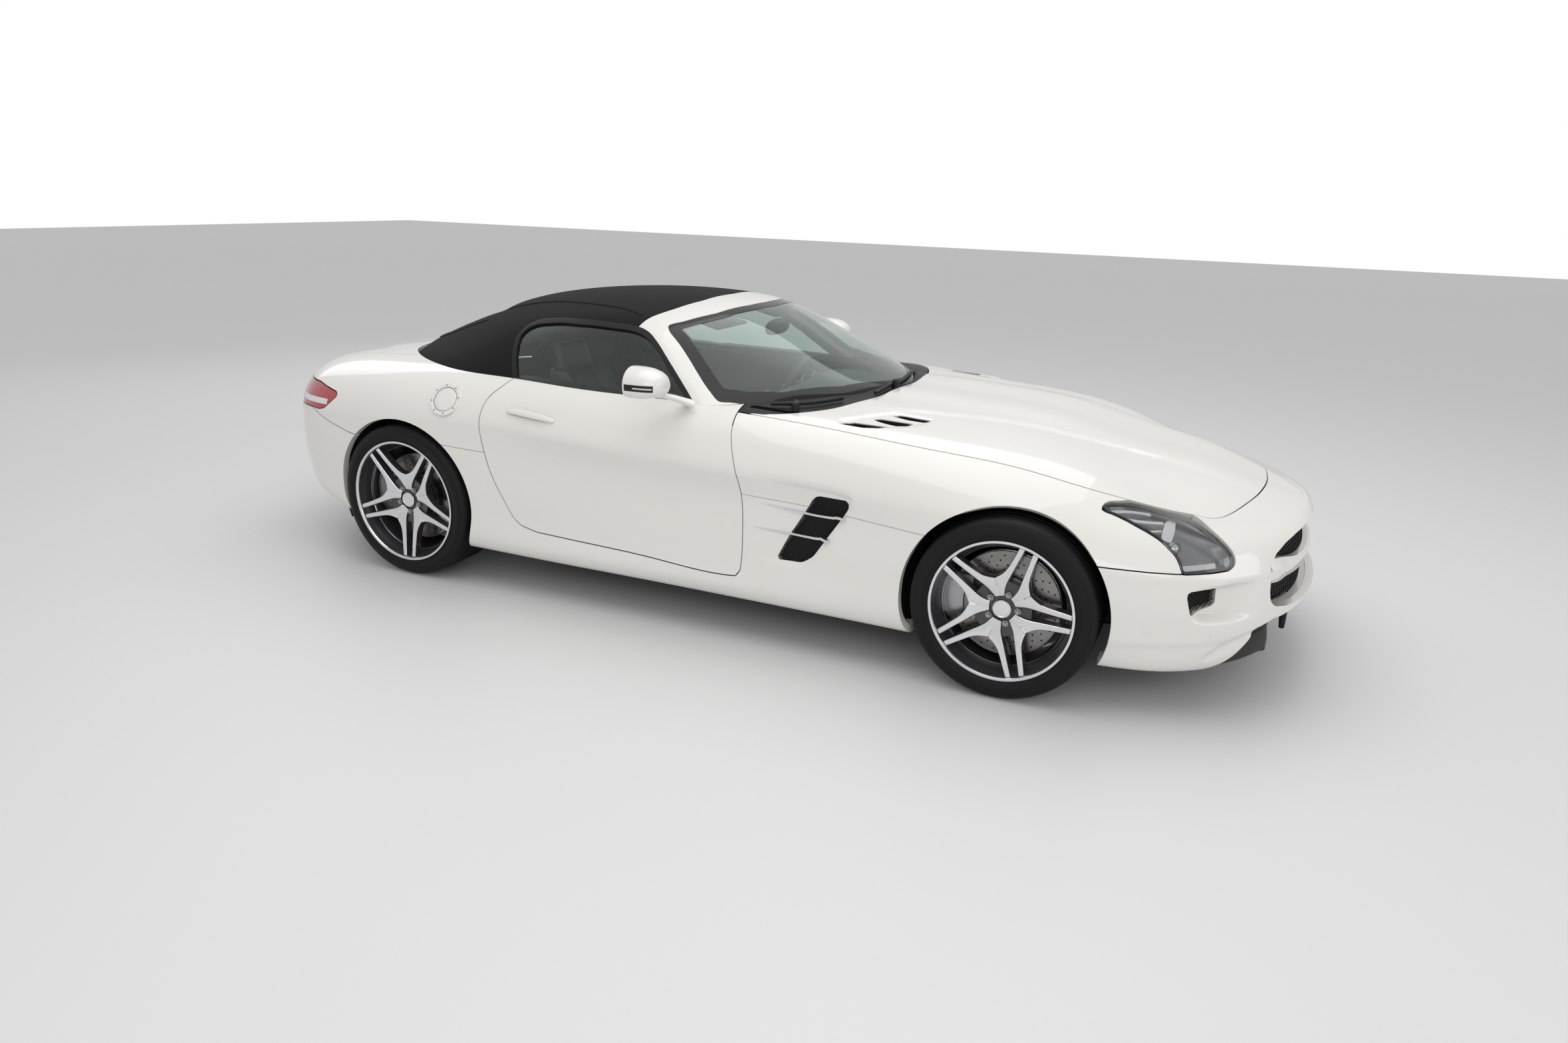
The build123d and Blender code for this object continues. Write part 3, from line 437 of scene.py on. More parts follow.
def pair(name, sheet, material, nodes=(), body="body", **more):
    """A left-hand piece and its mirror image, each standing for its own nodes."""
    return [build(f"{name}_{side}", shape, material, [f"{n}_{side}" for n in nodes], body if body == "body"
        else f"{body}_{side}", **more) for side, shape in (("left", sheet), ("right", flip_y(sheet)))]


# ---- finishes
def effect(name, inputs, outputs):
    """An empty shader node group with named sockets."""
    group = bpy.data.node_groups.new(name, "ShaderNodeTree")
    for label, kind, value in inputs:
        socket = group.interface.new_socket(label, in_out="INPUT", socket_type="NodeSocket" + kind)
        socket.default_value = value
    for label, kind in outputs:
        group.interface.new_socket(label, in_out="OUTPUT", socket_type="NodeSocket" + kind)
    return group, group.nodes.new("NodeGroupInput"), group.nodes.new("NodeGroupOutput")


def node(tree, kind, **inputs):
    """A shader node with inputs that are values or come from other nodes."""
    made = tree.nodes.new("ShaderNode" + kind)
    for label, source in inputs.items():
        feed(tree, made.inputs[label], source)
    return made


def feed(tree, socket, source):
    if isinstance(source, (int, float, tuple)):
        socket.default_value = source
    else:
        tree.links.new(source, socket)


def maths(tree, operation, *values):
    made = tree.nodes.new("ShaderNodeMath")
    made.operation = operation
    for socket, value in zip(made.inputs, values):
        feed(tree, socket, value)
    return made.outputs[0]


def blend_colours(tree, factor, first, second):
    made = tree.nodes.new("ShaderNodeMix")
    made.data_type = "RGBA"
    for index, value in ((0, factor), (6, first), (7, second)):
        feed(tree, made.inputs[index], value)
    return made.outputs[2]


def finish_effect(group, out, colour, rough, height):
    for socket, source in zip(out.inputs, (colour, rough, height)):
        group.links.new(source, socket)
    return group


SURFACE = [("Colour", "Color"), ("Roughness", "Float"), ("Height", "Float")]


def make_mottle():
    """Slow colour change and fine bumps over a surface."""
    group, into, out = effect("mottle", [("Colour", "Color", (.5, .5, .5, 1)), ("Second Colour", "Color",
        (.4, .4, .4, 1)), ("Patch Size", "Float", .2), ("Grain Size", "Float", .002), ("Roughness", "Float",
        .5), ("Roughness Change", "Float", .1)], SURFACE)
    get, spot = into.outputs, node(group, "TexCoord").outputs["Object"]
    patch, grain = (node(group, "TexNoise", Vector=spot, Scale=maths(group, "DIVIDE", 1., get[label]),
        Detail=detail) for label, detail in (("Patch Size", 4), ("Grain Size", 2)))
    colour = blend_colours(group, patch.outputs["Fac"], get["Colour"], get["Second Colour"])
    shift = maths(group, "SUBTRACT", patch.outputs["Fac"], .5)
    rough = maths(group, "MULTIPLY_ADD", shift, get["Roughness Change"], get["Roughness"])
    return finish_effect(group, out, colour, rough, grain.outputs["Fac"])


def make_weave():
    """Over-and-under threads of a woven cloth, seen from above and from the side."""
    group, into, out = effect("weave", [("Colour", "Color", (.02, .02, .02, 1)), ("Thread Colour", "Color",
        (.04, .04, .04, 1)), ("Thread Width", "Float", .0016), ("Roughness", "Float", .9)], SURFACE)
    get, spot = into.outputs, node(group, "TexCoord").outputs["Object"]
    x, y, z = node(group, "SeparateXYZ", Vector=spot).outputs
    turns = maths(group, "DIVIDE", math.pi, get["Thread Width"])
    along, across = (maths(group, "SINE", maths(group, "MULTIPLY", way, turns))
        for way in (x, maths(group, "ADD", y, z)))
    height = maths(group, "MULTIPLY_ADD", maths(group, "MULTIPLY", along, across), .5, .5)
    cloud = node(group, "TexNoise", Vector=spot, Scale=7)
    share = maths(group, "MULTIPLY", maths(group, "ADD", height, cloud.outputs["Fac"]), .5)
    colour = blend_colours(group, share, get["Colour"], get["Thread Colour"])
    return finish_effect(group, out, colour, get["Roughness"], height)


MOTTLE, WEAVE = make_mottle(), make_weave()


SHADER_INPUTS = {"metal": "Metallic", "coat": "Coat Weight", "coat_rough": "Coat Roughness",
    "sheen": "Sheen Weight", "transmission": "Transmission Weight", "ior": "IOR",
    "specular": "Specular IOR Level"}


def finish_of(name, slot, colour, second=None, rough=.5, change=.1, patch=.2, grain=.002, bump=.1, depth=.0002,
        thread=None, **more):
    """A material that changes a little over the surface; a thread width makes it a weave."""
    made = bpy.data.materials.new(name)
    made.use_nodes = True
    tree = made.node_tree
    shader = tree.nodes["Principled BSDF"]
    uses = tree.nodes.new("ShaderNodeGroup")
    uses.node_tree = WEAVE if thread else MOTTLE
    values = {0: (*colour, 1), 1: (*(second or tuple(c * .85 for c in colour)), 1), "Roughness": rough}
    values.update({"Thread Width": thread} if thread else {"Patch Size": patch, "Grain Size": grain,
        "Roughness Change": change})
    for label, value in values.items():
        uses.inputs[label].default_value = value
    tree.links.new(uses.outputs["Colour"], shader.inputs["Base Color"])
    tree.links.new(uses.outputs["Roughness"], shader.inputs["Roughness"])
    lift = node(tree, "Bump", Height=uses.outputs["Height"], Strength=bump, Distance=depth)
    tree.links.new(lift.outputs[0], shader.inputs["Normal"])
    for key, value in more.items():
        shader.inputs[SHADER_INPUTS[key]].default_value = value
    return made


paint = finish_of("pearl white paint", "paint", (.8, .79, .75), (.77, .76, .72), rough=.32, change=.05,
    patch=.5, grain=.0009, bump=.05, depth=.00004, coat=1., coat_rough=.02)
fabric = finish_of("black roof cloth", "soft_top_fabric", (.007, .007, .0075), (.015, .015, .016), rough=.95,
    thread=.0016, bump=.5, depth=.0004, sheen=.03, specular=.15)
clear_glass = finish_of("greenish window glass", "glass", (.7, .8, .76), (.66, .78, .73), rough=0., change=0.,
    bump=0., transmission=1., ior=1.45, specular=.3)
frit = finish_of("black glass border", "trim_black", (.006, .006, .007), rough=.12, change=.05, specular=.4)
rubber = finish_of("black seal rubber", "trim_black", (.01, .01, .01), rough=.55, change=.2, bump=.2,
    specular=.3)
tyre_rubber = finish_of("tyre rubber", "tyre", (.006, .006, .0062), (.011, .0108, .0106), rough=.55, change=.25,
    patch=.05, grain=.0012, bump=.35, depth=.0003, specular=.2)
black_plastic = finish_of("grained black plastic", "black_plastic", (.01, .01, .011), (.016, .016, .016),
    rough=.5, grain=.0008, bump=.5, specular=.3)
lining_cloth = finish_of("dark lining cloth", "soft_top_fabric", (.02, .02, .021), (.035, .035, .036),
    rough=.95, thread=.003, bump=.3, specular=.2)
bright_alloy = finish_of("machined wheel face", "alloy", (.8, .8, .81), (.74, .74, .75), rough=.24, change=.15,
    patch=.02, grain=.0004, bump=.08, metal=1.)
grey_alloy = finish_of("dark grey wheel paint", "alloy", (.035, .035, .038), (.025, .025, .027), rough=.35,
    coat=.6)
chrome = finish_of("chrome", "alloy", (.8, .8, .81), (.74, .74, .75), rough=.08, change=.08, metal=1.)
steel = finish_of("ground steel", "steel", (.42, .41, .4), (.33, .32, .31), rough=.34, change=.2, patch=.03,
    metal=1.)
cast_metal = finish_of("cast aluminium", "engine_alloy", (.38, .38, .38), (.28, .28, .28), rough=.55,
    grain=.0015, bump=.5, metal=1.)
chassis_paint = finish_of("satin black chassis paint", "chassis", (.02, .02, .021), (.035, .034, .033),
    rough=.6, bump=.3)
dark_leather = finish_of("black leather", "leather", (.02, .02, .021), (.034, .033, .032), rough=.45, patch=.1,
    grain=.0025, bump=.6, depth=.0004)
blank_plate = finish_of("blank plate", "plate", (.62, .62, .6), (.56, .56, .54), rough=.4, coat=.3)
carpet = finish_of("cabin carpet", "leather", (.02, .02, .02), (.045, .045, .045), rough=1., grain=.0015,
    bump=1., depth=.001)
lens_clear = finish_of("clear lamp lens", "head_lens", (.9, .9, .9), rough=0., change=0., bump=0.,
    transmission=1., ior=1.3)
lens_red = finish_of("red lamp lens", "tail_lens", (.36, .01, .016), (.44, .03, .04), rough=.05, change=.02,
    coat=1.)
lamp_silver = finish_of("lamp reflector", "head_lens", (.55, .56, .58), (.42, .43, .45), rough=.18, metal=1.)
lamp_white = finish_of("lamp diffuser", "head_lens", (.75, .77, .8), (.65, .67, .7), rough=.3)
silver_paint = finish_of("silver caliper paint", "alloy", (.45, .45, .46), (.36, .36, .37), rough=.35, metal=.8,
    coat=.5)
DRILL_START, DRILL_PITCH, DRILLS, DRILL_R = .118, .0175, 24, .0032


def make_hole_shade():
    """Painted shade for rows of drilled holes round a brake disc, from distance and angle about the axle; the
    disc has no real holes.
    """
    group, into, out = effect("painted hole shade rows", [("Axle X", "Float", 0.), ("Axle Z", "Float", .33)],
        [("Hole Shade", "Float")])
    do = lambda *values: maths(group, *values)
    x, _, z = node(group, "SeparateXYZ", Vector=node(group, "TexCoord").outputs["Object"]).outputs
    x, z = (do("SUBTRACT", way, axle) for way, axle in zip((x, z), into.outputs))
    length = lambda a, b: do("SQRT", do("ADD", do("MULTIPLY", a, a), do("MULTIPLY", b, b)))
    r, angle = length(x, z), do("ARCTAN2", z, x)
    row = do("DIVIDE", do("SUBTRACT", r, DRILL_START), DRILL_PITCH)
    shift = do("MULTIPLY_ADD", do("FLOOR", row), .37, 10.)
    along = do("FRACT", do("MULTIPLY_ADD", angle, DRILLS / FULL_TURN, shift))
    side = do("MULTIPLY", do("SUBTRACT", along, .5), do("MULTIPLY", r, FULL_TURN / DRILLS))
    up = do("MULTIPLY", do("SUBTRACT", do("FRACT", row), .5), DRILL_PITCH)
    hole = do("LESS_THAN", length(side, up), DRILL_R)
    group.links.new(do("MULTIPLY", hole, do("GREATER_THAN", r, DRILL_START)), out.inputs[0])
    return group


HOLE_SHADE = make_hole_shade()


def drilled_finish(name, x, z):
    made = finish_of(name, "steel", (.33, .32, .31), (.24, .23, .22), rough=.3, change=.15, patch=.03, metal=1.)
    tree = made.node_tree
    shader = tree.nodes["Principled BSDF"]
    holes = tree.nodes.new("ShaderNodeGroup")
    holes.node_tree = HOLE_SHADE
    holes.inputs[0].default_value, holes.inputs[1].default_value = x, z
    old = shader.inputs["Base Color"].links[0].from_socket
    # the near-black colour is painted shade where each drilled hole would be; the disc itself is solid
    tree.links.new(blend_colours(tree, holes.outputs[0], old, (.006, .006, .006, 1)),
        shader.inputs["Base Color"])
    return made


mirror_glass = finish_of("mirror glass", "glass", (.85, .86, .87), rough=.02, change=.02, metal=1.)
lamp_grey = finish_of("lamp housing", "head_lens", (.2, .205, .21), (.3, .305, .31), rough=.3, change=.15,
    patch=.12, metal=.5)
# painted shade: the white paint made darker, standing in for the shade in the recess behind the door handles
painted_shade = finish_of("white paint darkened as painted shade", "paint", (.6, .59, .56), (.56, .55, .52), rough=.4, change=.05,
    coat=.6)
brake_steel = (drilled_finish("rear brake steel with painted hole shade", REAR_AXLE, REAR_R),
    drilled_finish("front brake steel with painted hole shade", FRONT_AXLE, FRONT_R))

# ---- sheets of the body and the glasshouse
body_grid, body_normals = body_sheet()


def ramp(value, start, end):
    """Goes smoothly from 0 at start to 1 at end."""
    share = np.clip((value - start) / (end - start), 0, 1)
    return share * share * (3 - 2 * share)


# hollows in the skin: outline, depth, width of the slope at the edge, where it fades
VENT_HOLLOW = outline([(.2, .697), (.474, .692), (.656, .684), (.724, .674), (.752, .66), (.745, .61),
    (.65, .472), (.6, .382), (.567, .357), (.511, .347), (.391, .349), (.2, .345)], SIDE)
SCOOP = outline([(1.9, .47), (1.905, .493), (1.987, .503), (2.042, .514), (2.098, .516), (2.14, .514),
    (2.152, .45), (2.15, .373), (2.03, .37), (1.973, .373), (1.935, .38), (1.918, .4)], SIDE)
SPLITTER_GROOVE = outline([(1.965, .226), (2.03, .285), (2.11, .32), (2.2, .352), (2.2, .322), (2.13, .288),
    (2.06, .241), (2., .219)], SIDE)
LOWER_NOSE = outline([(-.3, .355), (.45, .35), (.6, .343), (.66, .335), (.6, .3), (.5, .19), (.4, .08),
    (-.3, .08)], FACE)
BONNET_RISE = outline([(.6, -.3), (.6, .535), (.732, .521), (1.08, .437), (1.377, .386), (1.617, .313),
    (1.977, .261), (2.3, .225), (2.3, -.3)], PLAN)
LOUVRE_HOLLOW = outline([(.58, .72), (.6, .742), (.74, .728), (.8, .695), (.87, .65), (.91, .58), (.925, .53),
    (.86, .52), (.74, .52), (.66, .61)], PLAN)
PLATE_RECESS = outline([(-.3, .455), (.285, .455), (.285, .6), (-.3, .6)], FACE)
BUMPER_STEP = outline([(1.5, .285), (1.698, .288), (1.838, .3), (1.959, .304), (2.038, .311), (2.117, .326),
    (2.19, .35), (2.4, .35), (2.4, 0), (1.5, 0)], SIDE)
HOLLOWS = [
    (VENT_HOLLOW, .014, .03, lambda v: ramp(v[:, 0], .3, .54) * (v[:, 1] > .7)),
    (SCOOP, .044, .024, lambda v: ramp(v[:, 0], 1.9, 1.985) * (1 - ramp(v[:, 0], 2.01, 2.15)) *
        (v[:, 1] > .55)),
    (SPLITTER_GROOVE, .016, .024, lambda v: 1. * (v[:, 1] > .45)),
    (LOWER_NOSE, .075, .05, lambda v: (1 - ramp(v[:, 1], .36, .66)) * (v[:, 0] > 2)),
    (BONNET_RISE, -.007, .04, lambda v: ramp(v[:, 0], .62, .85) * (1 - ramp(v[:, 0], 1.85, 2.15)) *
        (v[:, 2] > .5)),
    (LOUVRE_HOLLOW, .006, .022, lambda v: 1. * (v[:, 2] > .7)),
    (PLATE_RECESS, .02, .012, lambda v: 1. * (v[:, 0] < -2)),
    (BUMPER_STEP, .006, .022, lambda v: 1. * (v[:, 1] > .5))]


def hollowed(grid, normals):
    """Presses the hollows into the skin and finds its outward directions again."""
    grid, normals = grid.copy(), normals.copy()
    for tip in (grid[0, 0], grid[-1, 0]):
        gap = np.linalg.norm(grid - tip, axis=2)
        shared = normals[(gap > .012) & (gap < .024)].mean(0) * [1, 0, 1]
        normals[gap <= .012] = shared / np.linalg.norm(shared)
    tail_corner = ramp(-grid[..., 0], 1.6, 1.9) * ramp(grid[..., 1], .62, .8)
    grid[..., 2] += .07 * tail_corner * (1 - ramp(grid[..., 2], .2, .5))
    flat = grid.reshape(-1, 3)
    depth = np.zeros(len(flat))
    for zone, deep, slope, fade in HOLLOWS:
        depth += deep * ramp(-zone(flat), 0, slope) * fade(flat)
    depth = depth.reshape(grid.shape[:2])
    pressed = grid - normals * depth[..., None]
    fresh = np.nan_to_num(grid_normals(pressed))
    fresh *= np.where((fresh * normals).sum(2) < 0, -1, 1)[..., None]
    fresh[:, 0, 1] = 0
    length = np.linalg.norm(fresh, axis=2, keepdims=True)
    fresh = np.where(length > 1e-6, fresh / np.maximum(length, 1e-6), normals)
    moved = np.abs(depth) > 1e-6
    near = moved.copy()
    near[1:] |= moved[:-1]
    near[:-1] |= moved[1:]
    near[:, 1:] |= moved[:, :-1]
    near[:, :-1] |= moved[:, 1:]
    near[[0, -1]] = False
    return pressed, np.where(near[..., None], fresh, normals)


body_grid, body_normals = hollowed(body_grid, body_normals)
skin = as_sheet(body_grid, body_normals)
body_tree = tree_of(skin)

# x, height on the centre line, half width and height of the side rail, half width and height at the foot, in mm
ROOF_SECTIONS = [
    (-1850, 915, 80, 908, 120, 895), (-1800, 955, 200, 930, 290, 897), (-1650, 1022, 380, 955, 490, 899),
    (-1450, 1105, 490, 990, 640, 902), (-1200, 1190, 560, 1050, 755, 904), (-900, 1240, 595, 1120, 775, 905),
    (-600, 1260, 600, 1165, 785, 905), (-330, 1258, 602, 1168, 785, 905), (-50, 1225, 615, 1095, 778, 902),
    (120, 1165, 600, 1025, 762, 895), (300, 1082, 520, 985, 625, 903), (500, 996, 330, 955, 400, 905),
    (600, 952, 160, 942, 205, 908), (640, 932, 60, 928, 90, 910)]
ROOF_CROWN, RAIL_ROUND = 2.3, .085
ROOF_COLUMNS = 64


def roof_curve(section):
    """One side of a glasshouse section, from the centre line over the rail to the foot."""
    x, zc, yc, zk, yb, zb = [value * MM for value in section]
    share = np.linspace(0, 1, 25)
    top = [np.array([yc * s, zc - (zc - zk) * s ** ROOF_CROWN]) for s in share]
    swell = [np.array([yc + (yb - yc) * s + .01 * math.sin(s * math.pi), zk + (zb - zk) * s])
        for s in share[1:]]
    line = np.array(top + swell)
    run = run_along(line)
    corner = run[24]
    reach = min(RAIL_ROUND, .6 * (run[-1] - corner), .6 * corner)
    at = lambda s: np.array([np.interp(s, run, line[:, 0]), np.interp(s, run, line[:, 1])])
    before, after, tip = at(corner - reach), at(corner + reach), line[24]
    soft = round_corner(before, tip, after, 13)
    line = np.array([p for p, s in zip(line, run) if s < corner - reach] + soft +
        [p for p, s in zip(line, run) if s > corner + reach])
    run = run_along(line)
    top_len = np.interp(len([s for s in run if s < corner]), range(len(run)), run)
    places = np.concatenate([np.linspace(0, top_len, 41)[:-1], np.linspace(top_len, run[-1],
        ROOF_COLUMNS - 40)])
    return np.array([(x, np.interp(s, run, line[:, 0]), np.interp(s, run, line[:, 1])) for s in places])


def roof_grid():
    net = np.array([roof_curve(section) for section in ROOF_SECTIONS])
    knots = chords(net, 0)
    rows = int(knots[-1] / .014)
    grid = np.einsum("ij,jkc->ikc", spline_weights(knots, np.linspace(0, knots[-1], rows)), net)
    grid[:, 0, 1] = 0
    normals = grid_normals(grid)
    normals[:, 0, 1] = 0
    normals /= np.linalg.norm(normals, axis=2, keepdims=True)
    return grid, normals if normals[rows // 2, 0, 2] > 0 else -normals


house_grid, house_normals = roof_grid()
house = as_sheet(house_grid, house_normals)
house_tree = tree_of(house)

# outlines from above: (x, y); from the side: (x, z)
CABIN_PLAN = outline(flowing([(x * MM, yb * MM) for x, _, _, _, yb, _ in ROOF_SECTIONS], 4).tolist() +
    [(.66, 0), (.66, -.3), (-1.87, -.3), (-1.87, 0)], PLAN)
BONNET_REAR = flowing([(.165, .783), (.25, .78), (.331, .766), (.408, .733), (.495, .651), (.564, .515),
    (.6, .41), (.642, .219), (.659, 0)])[::-1]
BONNET_PLAN = outline(flowing([(.161, .786), (.38, .789), (.93, .789), (1.4, .762), (1.677, .702), (1.79, .65),
    (1.868, .606), (1.895, .594), (1.925, .588), (1.955, .566), (1.98, .528), (2.014, .454), (2.053, .343),
    (2.085, .214), (2.1, .1), (2.104, 0)]).tolist() + [(2.104, -.2), (.659, -.2)] + BONNET_REAR.tolist(), PLAN)
DOOR_SIDE = outline(flowing([(.196, .93), (.205, .86), (.232, .77), (.264, .684), (.285, .56), (.295, .45),
    (.297, .36), (.293, .3)]).tolist() + flowing([(.276, .277), (.235, .274), (-.1, .286), (-.45, .298),
    (-.66, .306)]).tolist() + flowing([(-.735, .322), (-.775, .35), (-.81, .4), (-.88, .52), (-.915, .618),
    (-.936, .76), (-.918, .85), (-.875, .905), (-.86, .94)]).tolist(), SIDE)
LAMP_SIDE = outline(flowing([(1.593, .712), (1.6, .723), (1.633, .7275), (1.66, .7275), (1.689, .724),
    (1.78, .702), (1.873, .679), (1.943, .656), (1.99, .63), (2.02, .604), (2.033, .582), (2.034, .563),
    (2.019, .551)], 4).tolist() + flowing([(1.965, .547), (1.926, .546), (1.884, .5445)], 4).tolist() +
    flowing([(1.869, .573), (1.855, .594), (1.832, .614), (1.805, .633), (1.758, .655), (1.704, .675),
    (1.648, .694), (1.606, .705)], 4).tolist(), SIDE)
BUMPER_SIDE = outline([(1.5, -1), (1.5, .546), (1.884, .546), (1.884, .62), (1.8745, .67), (1.8745, 2), (3, 2),
    (3, -1)], SIDE)
VENT_SIDE = soft_outline([(.44, .37), (.548, .373), (.592, .403), (.727, .612), (.722, .64), (.6, .641),
    (.58, .628), (.488, .471)], .016, SIDE)
TAIL_LAMP_SIDE = soft_outline([(-1.742, .774), (-1.755, .787), (-1.9, .812), (-2.33, .815), (-2.33, .7),
    (-1.904, .706), (-1.85, .703), (-1.812, .713), (-1.75, .764)], .01, SIDE)
REAR_BUMPER_SIDE = outline([(-1.5, -1), (-1.5, .6), (-1.66, .622), (-1.8, .66), (-1.905, .7055),
    (-1.985, .7055), (-1.985, .78), (-1.985, 2), (-3, 2), (-3, -1)], SIDE)
BOOT_PLAN = soft_outline([(-1.845, -.3), (-1.845, .53), (-2.1, .52), (-2.24, .49), (-2.34, .46), (-2.36, .4),
    (-2.36, -.3)], .05, PLAN)
DECK_PLAN = outline([(-1., -.3), (-1., .7), (-1.5, .562), (-1.7, .555), (-1.845, .545), (-1.845, -.3)], PLAN)
TAIL_LAMP_INNER = .5495
WINDOW_SIDE = soft_outline([(.03, .86), (-.032, .914), (-.121, .99), (-.238, 1.088), (-.294, 1.124),
    (-.343, 1.14), (-.402, 1.146), (-.563, 1.15), (-.755, 1.146), (-.883, 1.13), (-.932, 1.108), (-.948, 1.07),
    (-.918, 1.), (-.868, .92), (-.845, .86)], .03, SIDE)
SCREEN_PLAN = soft_outline([(-.058, -.3), (-.058, 0), (-.068, .143), (-.12, .359), (-.199, .515), (-.243, .566),
    (-.209, .598), (-.155, .625), (-.067, .673), (.021, .721), (.098, .755), (.21, .705), (.33, .615),
    (.5, .405), (.6, .215), (.65, .08), (.66, -.3)], .02, PLAN)
HEADER_PLAN = outline([(-.225, -.3), (-.225, 0), (-.245, .255), (-.29, .42), (-.345, .56), (-.372, .66),
    (-.372, .72), (-.34, 1.2), (1, 1.2), (1, -.3)], PLAN)
REAR_GLASS_PLAN = soft_outline([(-1.25, -.3), (-1.25, 0), (-1.256, .33), (-1.59, .26), (-1.61, 0),
    (-1.61, -.3)], .04, PLAN)
SILL_SIDE = outline([(-1.32, -1), (-1.32, .64), (-.915, .618), (.27, .602), (.72, .584), (1.02, .566),
    (1.4, .55), (1.4, -1)], SIDE)
GRILLE_FRONT = soft_outline([(-.3, .617), (.25, .617), (.4, .61), (.5, .598), (.586, .572), (.628, .52),
    (.64, .47), (.63, .42), (.6, .395), (.5, .375), (.35, .366), (-.3, .366)], .025, FACE)
INTAKE_SIDE = soft_outline([(1.907, .47), (1.91, .488), (1.988, .497), (1.992, .432), (1.984, .421),
    (1.926, .4)], .01, SIDE)
DIFFUSER_REAR = outline([(-.3, .34), (.36, .34), (.43, .325), (.66, .325), (.7, .3), (.7, .05), (-.3, .05)],
    FACE)
CHIN_FRONT = soft_outline([(-.3, .35), (.45, .349), (.6, .343), (.645, .318), (.672, .284), (.705, .228),
    (.728, .204), (.765, .182), (.8, .15), (.8, 0), (-.3, 0)], .01, FACE)
ARM_SLOT = outline([(.225, .708), (.43, .708), (.43, .736), (.225, .736)], PLAN)
LOUVRES = [
    [(.604, .75), (.648, .702), (.787, .682), (.762, .72), (.7, .745)],
    [(.697, .64), (.723, .613), (.86, .603), (.838, .642), (.8, .662), (.75, .656)],
    [(.747, .56), (.78, .538), (.905, .54), (.886, .572), (.82, .576)]]


def chin_zone(v):
    return np.where(v[:, 0] > 1.9, CHIN_FRONT(v), .1)


def grille_hole(v):
    return np.where(v[:, 0] > 2, -GRILLE_FRONT(v), -1)


def intake_hole(v):
    return np.where((v[:, 0] > 1.7) & (v[:, 1] > .5), -INTAKE_SIDE(v), -1)


def diffuser_zone(v):
    return np.where(v[:, 0] < -1.9, DIFFUSER_REAR(v), .1)


def boot_plan_low(v):
    return np.maximum(BOOT_PLAN(v), .7 - v[:, 2])


def lamp_zone(v):
    return np.maximum(TAIL_LAMP_SIDE(v), TAIL_LAMP_INNER - v[:, 1])


def cowl_free(v):
    """Leaves the strip in front of the screen to the cowl."""
    return np.where((v[:, 0] < .68) & (v[:, 1] < .8) & (v[:, 2] > .8), .7848 - v[:, 1], -1)


def cut_arches(sheet):
    for x, z in ((FRONT_AXLE, FRONT_R), (REAR_AXLE, REAR_R)):
        sheet = trim(sheet, lambda v: ARCH_R - np.hypot(v[:, 0] - x, v[:, 2] - z))
    return sheet


def upper(sheet):
    return cut_sheet(sheet, above(2, .6))


def make_bonnet():
    half = cut_sheet(upper(skin), inside(BONNET_PLAN), above(0, .1))
    for points in LOUVRES:
        half = trim(half, outside(soft_outline(points, .006, PLAN), 0))
    build("bonnet_skin", slab(both_halves(half), LID), paint, ["bonnet"], "bonnet")


def make_fenders():
    part = cut_sheet(skin, cowl_free, above(0, .17), outside(BONNET_PLAN), outside(DOOR_SIDE),
        outside(LAMP_SIDE), outside(BUMPER_SIDE), outside(CABIN_PLAN, .001), outside(VENT_SIDE, 0),
        above(2, .17))
    part = cut_sheet(cut_arches(part), lambda v: np.where(v[:, 0] < 1.314, outside(SILL_SIDE, SILL_GAP)(v), -1))
    pair("fender_skin", panel(part, .018), paint, ["fender"])


def make_sills():
    part = cut_sheet(skin, above(0, -1.3), below(0, 1.3), inside(SILL_SIDE, SILL_GAP), outside(DOOR_SIDE),
        outside(VENT_SIDE, 0))
    pair("sill_skin", panel(cut_arches(part), TURNED_EDGE), paint, ["sill"])


def make_doors():
    part = cut_sheet(skin, inside(DOOR_SIDE), outside(CABIN_PLAN, .001), above(1, .5))
    door = slab(part, .09, (0, -1, 0))
    spread = [np.ptp(door[0][list(face)], axis=0) for face in door[2]]
    top = [(wide > .05) & (tall < .02) & (door[0][face[0]][2] > .84)
        for (_, wide, tall), face in zip(spread, door[2])]
    pair("door_skin", door, paint, ["door"], "door", materials=(black_plastic,), pick=lambda i: int(top[i]))


def make_quarters():
    part = cut_sheet(skin, below(0, -.6), outside(DOOR_SIDE), outside(CABIN_PLAN, .001), outside(DECK_PLAN),
        outside(BOOT_PLAN), outside(REAR_BUMPER_SIDE), outside(TAIL_LAMP_SIDE), outside(SILL_SIDE, SILL_GAP))
    pair("quarter_skin", panel(cut_arches(part), TURNED_EDGE), paint, ["quarter"])


def make_front_bumper():
    part = cut_sheet(skin, inside(BUMPER_SIDE), outside(LAMP_SIDE), outside(BONNET_PLAN), grille_hole,
        intake_hole, outside(chin_zone, 0))
    chin = cut_sheet(skin, above(0, 1.9), inside(CHIN_FRONT, -.01))
    build("chin_intake", both_halves(pushed(chin, .008)), black_plastic)
    edge = body_grid[:, -1]
    lip = edge[edge[:, 0] > 1.95][::3] + [0, 0, -.002]
    half = sweep(lip, [(.02, -.004), (-.003, -.006), (-.008, 0.), (-.003, .006), (.02, .004)], (0, 0, 1))
    build("chin_blade", whole(half), black_plastic)
    build("front_bumper_skin", panel(both_halves(cut_arches(part)), TURNED_EDGE), paint, ["front_bumper"])


def make_rear_bumper():
    part = cut_sheet(skin, inside(REAR_BUMPER_SIDE), outside(boot_plan_low), outside(lamp_zone),
        outside(diffuser_zone, 0))
    build("rear_bumper_skin", panel(both_halves(cut_arches(part)), TURNED_EDGE), paint, ["rear_bumper"])


